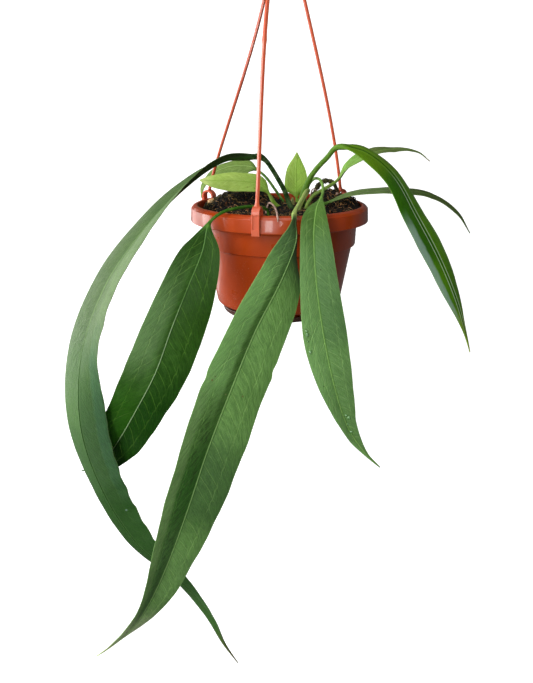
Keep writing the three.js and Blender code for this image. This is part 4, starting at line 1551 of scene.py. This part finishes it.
@dataclass
class Rod:
    """One hanger rod with the clip that straddles the pot's rim.

    The clip is an arch over the rim, with an outer leg that ends in a foot under the collar and a short
    inner leg. A recess between two rails runs down the outer leg. Its sizes are radii and heights.
    """

    node: str
    bearing: float
    radius: float
    bow: float
    skew: float
    nubs: tuple[float, ...] = ()
    width: float = 3.2
    depth: float = 2.6
    foot_height: float = 6.0
    top_radius: float = 4.9
    top_height: float = 207.1
    steps: int = 60
    flare: float = 0.7
    flare_length: float = 3.0
    nub_swell: float = 0.22
    nub_length: float = 0.9
    soft_edge: float = 0.28
    clip_width: float = 6.3
    arch: tuple[float, float] = (72.4, 1.0)
    arch_outer: float = 6.1
    arch_inner: float = 4.4
    leg_inside: float = 76.15
    inner_leg: float = -5.0
    foot: float = -13.65
    lip: float = 0.9
    recess: float = 0.55
    recess_low: float = -9.5
    recess_high: float = 0.8
    rail: float = 1.3

    def directions(self) -> tuple[np.ndarray, np.ndarray]:
        """Give the directions out from the axis and across the rod."""
        angle = math.radians(self.bearing)
        out = np.array([math.sin(angle), -math.cos(angle), 0])
        return out, np.array([math.cos(angle), math.sin(angle), 0])

    def point(self, t: float) -> np.ndarray:
        """Give the rod's centre, at t from 0 at the clip to 1 under the hub.

        Args:
            t: Share of the rod's length.

        Returns:
            The centre in millimetres from the rim.
        """
        out, _ = self.directions()
        bulge = self.bow * 4 * t * (1 - t) + self.skew * 8 * t * (1 - t) * (1 - 2 * t)
        radius = self.radius + (self.top_radius - self.radius) * t + bulge
        return out * radius + np.array([0, 0, self.foot_height + (self.top_height - self.foot_height) * t])

    def section(self, swell: float) -> Outline:
        """Give the rod's ridged section, wider than it is deep, with a low ridge on its outer face.

        Args:
            swell: How much wider it is than the plain rod.

        Returns:
            Points across the rod and out of its face.
        """
        outline = [
            (-1, 0.15), (-0.12, 0.95), (0.12, 0.95), (1, 0.15),
            (0.92, -0.25), (0.6, -1), (-0.6, -1), (-0.92, -0.25),
        ]
        return [(x * self.width / 2 * swell, y * self.depth / 2) for x, y in outline]

    def bar(self) -> Thing:
        """Build the rod without its clip."""
        out, side = self.directions()
        rings = []
        for t in np.linspace(0, 1, self.steps + 1).tolist():
            centre = self.point(t)
            along = unit(self.point(min(t + 0.01, 1.0)) - self.point(max(t - 0.01, 0.0)))
            face = np.cross(side, along)
            face *= np.sign(face @ out)
            swell = 1 + self.flare * smoothstep(self.flare_length, 0.0, centre[2] - self.foot_height)
            for nub in self.nubs:
                swell += self.nub_swell * math.exp(-(((centre[2] - nub) / self.nub_length) ** 2))
            rings.append([centre + side * x + face * y for x, y in self.section(swell)])
        return skinned(self.node + "_bar", rings, HANGER_PLASTIC, 30)

    def slab(self, outline: Outline, low: float, high: float) -> Thing:
        """Extrude an outline of radius and height sideways between two places across the rod.

        Args:
            outline: Points of radius and height.
            low: First place across the rod.
            high: Last place across the rod.

        Returns:
            The closed slab.
        """
        out, side = self.directions()
        rings = [[out * r + side * x + (0, 0, z) for r, z in outline] for x in (low, high)]
        return skinned("clip_slab", rings, HANGER_PLASTIC, 30)

    def clip(self) -> list[Thing]:
        """Build the clip from a core, the skin below and above its recess, and the recess's two rails."""
        middle, half = self.arch[0], self.clip_width / 2
        leg, inside, toe = middle + self.arch_outer, self.leg_inside, self.foot - self.lip
        sunk, hidden = leg - self.recess, leg - self.recess - 0.2
        low, high = self.recess_low, self.recess_high
        core = [
            (sunk, toe), (sunk, self.arch[1]),
            *arc(self.arch, self.arch_outer - self.recess, 8, 172, 20),
            (middle - self.arch_outer + 0.2, self.inner_leg), (middle - self.arch_inner, self.inner_leg),
            *arc(self.arch, self.arch_inner, 180, 32, 16), (inside, -2.5), (inside, self.foot),
            (inside - 2.4, self.foot), (inside - 2.2, toe),
        ]
        below = [(hidden, toe), (leg, toe), (leg, low), (hidden, low)]
        above = [
            (hidden, high), (leg, high), *arc(self.arch, self.arch_outer, 5, 175, 20),
            *arc(self.arch, self.arch_outer - self.recess - 0.2, 175, 5, 20),
        ]
        rail = [(hidden, low), (leg, low), (leg, high), (hidden, high)]
        slabs = (
            (core, -half, half), (below, -half, half), (above, -half, half),
            (rail, -half, self.rail - half), (rail, half - self.rail, half),
        )
        return [self.slab(*each) for each in slabs]

    def build(self) -> Thing:
        """Build the rod and its clip as one piece with softened edges."""
        made = dress(join(self.node + "_fine", [self.bar(), *self.clip()]), HANGER_PLASTIC)
        bevel = made.modifiers.new("soft edges", "BEVEL")
        bevel.width = self.soft_edge * MM
        bevel.segments = 2
        bevel.limit_method = "ANGLE"
        bevel.angle_limit = math.radians(40)
        return applied(made)


@dataclass
class Hook:
    """The hub that takes the rods, and the open crook that the hanger hangs by."""

    hub_height: float = 208.3
    hub_radius: float = 8.0
    bearing: float = 250.0
    crook: float = 11.0
    thickness: float = 2.6
    stretch: tuple[float, float] = (1.08, 1.25)
    steps: int = 120
    sides: int = 16

    def build(self) -> Thing:
        """Build the hub and crook as one piece."""
        low = self.hub_height
        hub = turned("hub", rounded([
            (0, low, 0), (self.hub_radius, low, 0.6), (self.hub_radius, low + 3, 0.9), (3.2, low + 5, 1.4),
            (2.0, low + 9, 0.6), (0, low + 9, 0),
        ]), HANGER_PLASTIC, 48)
        centre = self.bearing - self.crook
        middle = self.crook + self.thickness / 2
        path = [(0, low + 1), (0, low + 9), (2.5, centre - self.crook - 4)]
        path += arc((0, centre), middle, -62, 205, 20)
        wire = RowCurve([(x, 0, z, 0) for x, z in path])
        places = np.linspace(0, wire.length, self.steps)
        front = np.array([0, 1, 0])
        out = np.cross(front, wire.tangent(places, 0.5))[:, None, :]
        angles = round_angles(self.sides)[None, :, None]
        half = (self.thickness / 2 * np.where(places > wire.length - 1.2, 0.72, 1.0))[:, None, None]
        section = (out * np.cos(angles) * self.stretch[0] + front * np.sin(angles) * self.stretch[1]) * half
        crook = skinned("crook", wire.at(places)[:, None, :3] + section, HANGER_PLASTIC, 50)
        return dress(join("hanger_hook_fine", [hub, crook]), HANGER_PLASTIC)


RODS = [
    Rod("hanger_rod_front", -14.3, 73.5, 14.9, -4.7, nubs=(71.0, 120.0)),
    Rod("hanger_rod_left", -118.9, 72.5, -6.8, 3.6, nubs=(96.0,)),
    Rod("hanger_rod_right", 127.7, 72.5, 3.9, 1.9, nubs=(88.0,)),
]


# The soil, crown and roots

EARTH = EarthFinish("soil", rgb(4, 2, 1), rgb(17, 10, 6), rgb(132, 84, 46), rgb(32, 32, 8))
COIR = EarthFinish("coir", rgb(10, 6, 3), rgb(48, 30, 15), rgb(224, 172, 110), rgb(112, 106, 40), 0.55)
MOSS = EarthFinish("moss", rgb(16, 13, 5), rgb(38, 34, 12), rgb(82, 76, 32), rgb(46, 54, 18))
PALE_ROOT = BarkFinish("pale_root", rgb(205, 172, 158), rgb(160, 126, 110))
PALE_BARK = BarkFinish("pale_bark", rgb(236, 204, 156), rgb(198, 150, 96))
MOSSY_ROOT = BarkFinish("mossy_root", rgb(46, 34, 20), rgb(92, 92, 48), 0.95)
CROWN_SKIN = BarkFinish("crown", rgb(120, 134, 66), rgb(176, 160, 110))


def strew_chips(ground: Thing, **values: object) -> Thing:
    """Strew rough chips over a surface, which they take the place of.

    Args:
        ground: The surface.
        **values: The chips' density, seed, smallest and largest size, roughness and material.

    Returns:
        The chips as one mesh.
    """
    tree = GeometryTree("strewn_chips", Smallest="Vector", Largest="Vector", Roughness="Float")
    chip = tree.node("GeometryNodeMeshIcoSphere", {"Radius": 1.0, "Subdivisions": 1}).outputs["Mesh"]
    turn = tree.random((0.0, 0.0, 0.0), (6.283, 6.283, 6.283), 0)
    size = tree.random(tree.given["Smallest"], tree.given["Largest"], 3)
    real = tree.real(tree.spread(chip, turn, size, tree.random(0.0, 1.0, 5)))
    place = tree.node("GeometryNodeInputPosition").outputs[0]
    wobble = tree.node("ShaderNodeTexNoise", {"Vector": place, "Scale": 420.0, "Detail": 2.0})
    inputs = {0: wobble.outputs["Color"], 1: (0.5, 0.5, 0.5)}
    centred = tree.node("ShaderNodeVectorMath", inputs, operation="SUBTRACT")
    inputs = {0: centred.outputs[0], "Scale": tree.given["Roughness"]}
    push = tree.node("ShaderNodeVectorMath", inputs, operation="SCALE")
    rough = tree.node("GeometryNodeSetPosition", {"Geometry": real, "Offset": push.outputs[0]})
    return tree.grow(rough.outputs[0], ground, **values)


def strew_fibres(ground: Thing, **values: object) -> Thing:
    """Strew thin bent fibres over a surface, which they take the place of.

    Args:
        ground: The surface.
        **values: The fibres' density, seed, length, thickness, lowest and highest turn and material.

    Returns:
        The fibres as one mesh.
    """
    sizes = {"Length": "Float", "Thickness": "Float", "Lowest": "Vector", "Highest": "Vector"}
    tree = GeometryTree("strewn_fibres", **sizes)
    bend = tree.node("GeometryNodeCurvePrimitiveBezierSegment", {
        "Resolution": 6, "Start": (-0.4, 0.0, -0.1), "Start Handle": (0.1, 0.75, 0.25),
        "End Handle": (-0.1, -0.7, 0.25), "End": (0.4, 0.0, -0.1),
    })
    ring = tree.node("GeometryNodeCurvePrimitiveCircle", {
        "Resolution": 3, "Radius": tree.given["Thickness"],
    })
    strand = tree.node("GeometryNodeCurveToMesh", {
        "Curve": bend.outputs[0], "Profile Curve": ring.outputs[0], "Fill Caps": True,
    })
    turn = tree.random(tree.given["Lowest"], tree.given["Highest"], 0)
    inputs = {0: tree.random(0.3, 1.0, 4), 1: tree.given["Length"]}
    length = tree.node("ShaderNodeMath", inputs, operation="MULTIPLY")
    spread = tree.spread(strand.outputs[0], turn, length.outputs[0], tree.random(0.3, 1.0, 5))
    return tree.grow(spread, ground, **values)


@dataclass
class Soil:
    """The soil: a lumpy bed with mounds and hollows, strewn with bark chips and coir fibres.

    Each mound has its x and y, height and spread. Walls are the bed's radii and heights within the pot.
    """

    level: float = -7.0
    lowest: float = -12.0
    edge: float = 68.5
    walls: tuple[tuple[float, float], ...] = ((51.8, -81.6), (60.4, -35.2), (63.0, -30.4), (63.7, -13.0))
    sectors: int = 180
    circles: int = 56
    patch_sectors: int = 48
    patch_circles: int = 20
    mounds: Rows = field(default_factory=lambda: [
        (-41, 14, 15, 21), (-14, 20, 12, 13), (43, 24, 15, 17), (60, 4, 9, 16), (7, 8, 4, 13),
        (-62, -6, -6, 16), (0, 52, -3, 18), (30, -20, 2, 16), (-30, -40, 2, 18),
    ])

    def ring(self, radius: float, count: int) -> np.ndarray:
        """Give points of the bed's surface round one radius, with its mounds and a slow wave.

        Args:
            radius: The radius.
            count: Number of points.

        Returns:
            The points.
        """
        ring = circle(radius, self.level, count)
        x, y, total = ring.T
        for cx, cy, rise, spread in self.mounds:
            total = total + rise * np.exp(-((x - cx) ** 2 + (y - cy) ** 2) / spread**2)
        total = total + 0.9 * np.sin(x * 0.42 + 1.3) * np.cos(y * 0.37) + 0.7 * np.sin(x * 0.21 - y * 0.55)
        ring[:, 2] = np.maximum(total, self.lowest)
        return ring

    def build_bed(self) -> Thing:
        """Build the closed bed, with fine crumbs raised on its surface."""
        rng = np.random.default_rng(SEED)
        rings = [circle(radius, height, self.sectors) for radius, height in self.walls]
        for i in range(self.circles):
            ring = self.ring(self.edge * (1 - i / (self.circles - 0.5)), self.sectors)
            if i == 0:
                ring[:, 2] = np.clip(ring[:, 2], self.lowest + 2, -1.2)
            ring[:, 2] += rng.uniform(-0.9, 0.7, self.sectors) * min(1, i / 3)
            rings.append(ring)
        bed = skinned("soil_bed", rings, EARTH, 180)
        store(bed, "tone", rng.uniform(0, 0.6, len(rings) * self.sectors))
        return bed

    def surface(self, name: str) -> Thing:
        """Make an open patch of the bed's surface to strew things over.

        Args:
            name: The name of what will be strewn.

        Returns:
            The patch's object.
        """
        rings = []
        for i in range(self.patch_circles):
            radius = (self.edge - 2.2) * (1 - i / (self.patch_circles - 0.5))
            rings.append(self.ring(radius, self.patch_sectors) + (0, 0, 0.2))
        faces = skin_faces(self.patch_circles, self.patch_sectors, caps=False)
        return new_object(name, np.array(rings), [face[::-1] for face in faces])

    def build_chips(self) -> Thing:
        """Strew rough chips of bark and peat over the bed."""
        return strew_chips(
            self.surface("soil_chips"), Density=210000.0, Seed=SEED, Smallest=(0.0005, 0.0005, 0.0003),
            Largest=(0.0027, 0.0017, 0.0012), Roughness=0.0018, Material=material_of(EARTH),
        )

    def build_fibres(self) -> Thing:
        """Strew coir fibres over the bed."""
        return strew_fibres(
            self.surface("soil_fibres"), Density=110000.0, Seed=SEED + 1, Length=0.0105, Thickness=0.022,
            Lowest=(-0.6, -0.6, 0.0), Highest=(0.6, 0.6, 6.283), Material=material_of(COIR),
        )


@dataclass
class Root:
    """A round root through rows of x, y, z and radius, with small swellings along it."""

    name: str
    finish: BarkFinish
    rows: Rows
    knots: float = 0.12
    ring_spacing: float = 0.7
    knot_count: int = 24
    sides: int = 12

    def build(self) -> Thing:
        """Build the root."""
        curve = RowCurve(self.rows)
        steps = max(int(curve.length / self.ring_spacing), 12)
        places = np.linspace(0, curve.length, steps)
        values = curve.at(places)
        level = np.array([1.0, 0, 0])
        angles = round_angles(self.sides)
        rng = np.random.default_rng(SEED + len(self.rows))
        knots = np.linspace(0, curve.length, self.knot_count)
        swell = 1 + self.knots * np.interp(places, knots, rng.uniform(-1, 1, self.knot_count))
        rings = []
        for place, along, radius in zip(values[:, :3], curve.tangent(places, 0.8), values[:, 3] * swell):
            level = unit(level - (level @ along) * along)
            other = np.cross(along, level)
            rough = radius * (1 + self.knots * 0.5 * rng.uniform(-1, 1, self.sides))
            round_it = level * np.cos(angles)[:, None] + other * np.sin(angles)[:, None]
            rings.append(place + round_it * rough[:, None])
        return skinned(self.name, rings, self.finish, 80)


def moss_on(root: Thing) -> Thing:
    """Grow short moss over a root, as a piece of its own.

    Args:
        root: The root, whose surface the moss grows on.

    Returns:
        The moss as one mesh.
    """
    return strew_fibres(
        linked("moss_tufts", root.data.copy()), Density=900000.0, Seed=SEED + 2, Length=0.003,
        Thickness=0.06, Lowest=(-3.1, -3.1, 0.0), Highest=(3.1, 3.1, 6.283), Material=material_of(MOSS),
    )


AERIAL_ROOT = Root("aerial_root_fine", PALE_ROOT, [
    (-12, -18, -15, 0.8), (-11.5, -19, -7, 0.8), (-10.5, -22, -1, 0.75), (-9, -27, 3.5, 0.75),
    (-6, -40, 4, 0.75), (-4.2, -57, 3.2, 0.75), (-3.3, -71.5, 2.2, 0.75), (-2.9, -77.2, -0.8, 0.65),
    (-2.8, -77.4, -3.4, 0.4),
])
MOSS_ROOT = Root("moss_root_fine", MOSSY_ROOT, [
    (31.5, 24, -8, 2.0), (31.3, 24, 2, 1.9), (33, 26, 8.5, 1.8), (36.8, 28, 13, 1.7), (41, 29, 15.4, 1.7),
    (45.5, 29, 15.4, 1.7), (49.2, 28, 12.8, 1.7), (51.4, 27, 8.5, 1.8), (52, 26, 3, 1.9), (52, 26, -5, 2),
], knots=0.3)
SOIL_BITS = [
    Root("pale_chip", PALE_BARK, [
        (-62, 13.4, -5, 0.8), (-60.4, 13.2, -0.6, 1.9), (-58.2, 13, 0.4, 1.6), (-56.6, 12.8, -0.6, 0.6),
    ], knots=0.3),
    Root("pale_bead", PALE_ROOT, [(50.4, 11, 5, 0.5), (50.4, 11, 6.3, 1.2), (50.4, 11, 7.6, 0.5)]),
    Root("pale_curl", PALE_ROOT, [
        (26.5, 14, -6, 0.5), (27.4, 14, 4, 0.5), (29.4, 15, 10, 0.5), (32, 15, 9.4, 0.45),
        (33, 15, 6.4, 0.3),
    ]),
]
CROWN = [
    Root("crown_stub", CROWN_SKIN, [
        (10.8, 4, -17, 2.7), (10.8, 4, -7, 2.7), (11.1, 4.4, -1, 2.1), (11.6, 4.8, 4, 0.6),
    ]),
    Root("crown_sheath_a", CROWN_SKIN, [(11.8, 5.6, -10, 1.4), (12.3, 6.4, -3, 1.2), (12.6, 7.6, 2.5, 0.4)]),
    Root("crown_sheath_b", CROWN_SKIN, [(10, 4.6, -10, 1.3), (9, 5, -4, 1.1), (8.4, 5.6, 0, 0.4)]),
]


# The studio

WHITE = (1.0, 1.0, 1.0)
MIDDLE = (0.0, -0.05, -0.35)
COLLAR = (-0.01, -0.07, -0.255)


@dataclass
class Light:
    """A soft rectangular light: its place, aim, width and height in metres, and its power in watts."""

    name: str
    place: tuple[float, float, float]
    aim: tuple[float, float, float]
    size: tuple[float, float]
    power: float
    colour: Colour = WHITE

    def build(self) -> None:
        """Add the light, which the camera doesn't see."""
        data = bpy.data.lights.new(self.name, "AREA")
        data.shape = "RECTANGLE"
        data.size, data.size_y = self.size
        data.energy = self.power
        data.color = self.colour
        light = linked(self.name, data)
        light.location = self.place
        light.rotation_euler = (Vector(self.aim) - Vector(self.place)).to_track_quat("-Z", "Y").to_euler()
        light.visible_camera = False


LIGHTS = [
    Light("window_key", (-1.1, 0.05, -0.1), MIDDLE, (0.8, 0.8), 14.0, (1.0, 0.99, 0.97)),
    Light("front_fill", (-0.75, -1.25, 0.35), MIDDLE, (1.0, 1.0), 14.5),
    Light("top_soft", (-0.15, -0.35, 0.7), MIDDLE, (0.7, 0.7), 3.0),
    Light("front_glint", (-0.3, -1.25, -0.31), COLLAR, (0.2, 0.3), 3.2),
    Light("side_glint", (0.02, -1.27, -0.31), COLLAR, (0.05, 0.3), 0.7),
    Light("left_glint", (-1.2, -0.32, -0.34), COLLAR, (0.2, 0.26), 1.0),
    Light("wall_left", (-0.95, 0.75, -0.35), COLLAR, (0.9, 0.9), 5.2),
]


@dataclass
class Studio:
    """The pale floor, backdrop and surroundings, and the camera at the photograph's viewing angle."""

    camera_place: tuple[float, float, float] = (-11.06, -514.5, 69.16)
    pitch: float = 20.87
    focal_pixels: float = 590.0
    image_height: float = 683.0
    sensor: float = 36.0
    floor_height: float = -750.0
    backdrop_distance: float = 1000.0
    room: float = 6000.0
    corner: float = 700.0
    surroundings: float = 0.14

    def build_floor(self) -> Thing:
        """Build the floor and backdrop as one sheet with a wide rounded corner."""
        back, low, bend = self.backdrop_distance, self.floor_height, self.corner
        outline = [
            (-self.room, low), *arc((back - bend, low + bend), bend, -90, 0, 24), (back, low + self.room),
        ]
        points = [(x, y, z) for x in (-self.room, self.room) for y, z in outline]
        count = len(outline)
        faces = [(i, i + 1, count + i + 1, count + i) for i in range(count - 1)]
        floor = new_object("studio_floor", np.array(points), faces, 180)
        floor.visible_glossy = floor.visible_diffuse = False
        return dress(floor, StudioFinish("studio_pale", (0.72, 0.72, 0.72)))

    def build_surroundings(self) -> None:
        """Set the light from all around and the plain view of colours."""
        world = bpy.data.worlds.new("pale_room")
        world.use_nodes = True
        background = world.node_tree.nodes["Background"]
        background.inputs["Color"].default_value = (*WHITE, 1)
        background.inputs["Strength"].default_value = self.surroundings
        bpy.context.scene.world = world
        view = bpy.context.scene.view_settings
        view.view_transform = "Standard"
        view.look = "None"
        view.exposure = 0.0

    def build_camera(self) -> None:
        """Add the camera."""
        data = bpy.data.cameras.new("camera")
        data.sensor_width = self.sensor
        data.lens = self.focal_pixels / self.image_height * self.sensor
        data.clip_start = 0.01
        data.clip_end = 50
        camera = linked("camera", data)
        x, y, z = self.camera_place
        camera.location = (x * MM, y * MM, (z - RIM_DROP) * MM)
        camera.rotation_euler = (math.radians(90 - self.pitch), 0, 0)
        bpy.context.scene.camera = camera


def settle(piece: Thing, slot: str, *nodes: str) -> None:
    """Tie a finished piece to the part.

    Args:
        piece: The finished piece.
        slot: The record's material slot; not used.
        *nodes: The nodes that it stands for.
    """
    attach(piece, ROOT_BODY)
    if nodes:
        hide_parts(*nodes)
    stood_for = ", ".join(nodes) or "nothing"
    log.info("%s: %d faces, stands for %s", piece.name, len(piece.data.polygons), stood_for)


def main() -> None:
    """Build every piece in order."""
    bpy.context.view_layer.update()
    studio = Studio()
    studio.build_floor()
    studio.build_surroundings()
    studio.build_camera()
    for light in LIGHTS:
        light.build()
    pot = Pot()
    settle(pot.build_pot(), "pot_plastic", "pot")
    settle(pot.build_tray(), "tray_plastic", "drip_tray")
    settle(Hook().build(), "hanger_plastic", "hanger_hook")
    for rod in RODS:
        settle(rod.build(), "hanger_plastic", rod.node)
    soil = Soil()
    settle(soil.build_bed(), "soil", "soil")
    settle(soil.build_chips(), "soil")
    settle(soil.build_fibres(), "soil")
    settle(join("crown_fine", [root.build() for root in CROWN]), "crown", "crown")
    settle(AERIAL_ROOT.build(), "pale_root", "aerial_root")
    moss_root = MOSS_ROOT.build()
    settle(moss_root, "mossy_root", "moss_root")
    settle(moss_on(moss_root), "mossy_root")
    settle(join("soil_bits", [bit.build() for bit in SOIL_BITS]), "pale_root")
    for leaf in LEAVES:
        settle(leaf.build(), leaf.slot, leaf.node)
        if leaf.tone is LeafTone.FRONT:
            settle(DEW.build(leaf), leaf.slot)


if __name__ == "__main__":
    main()
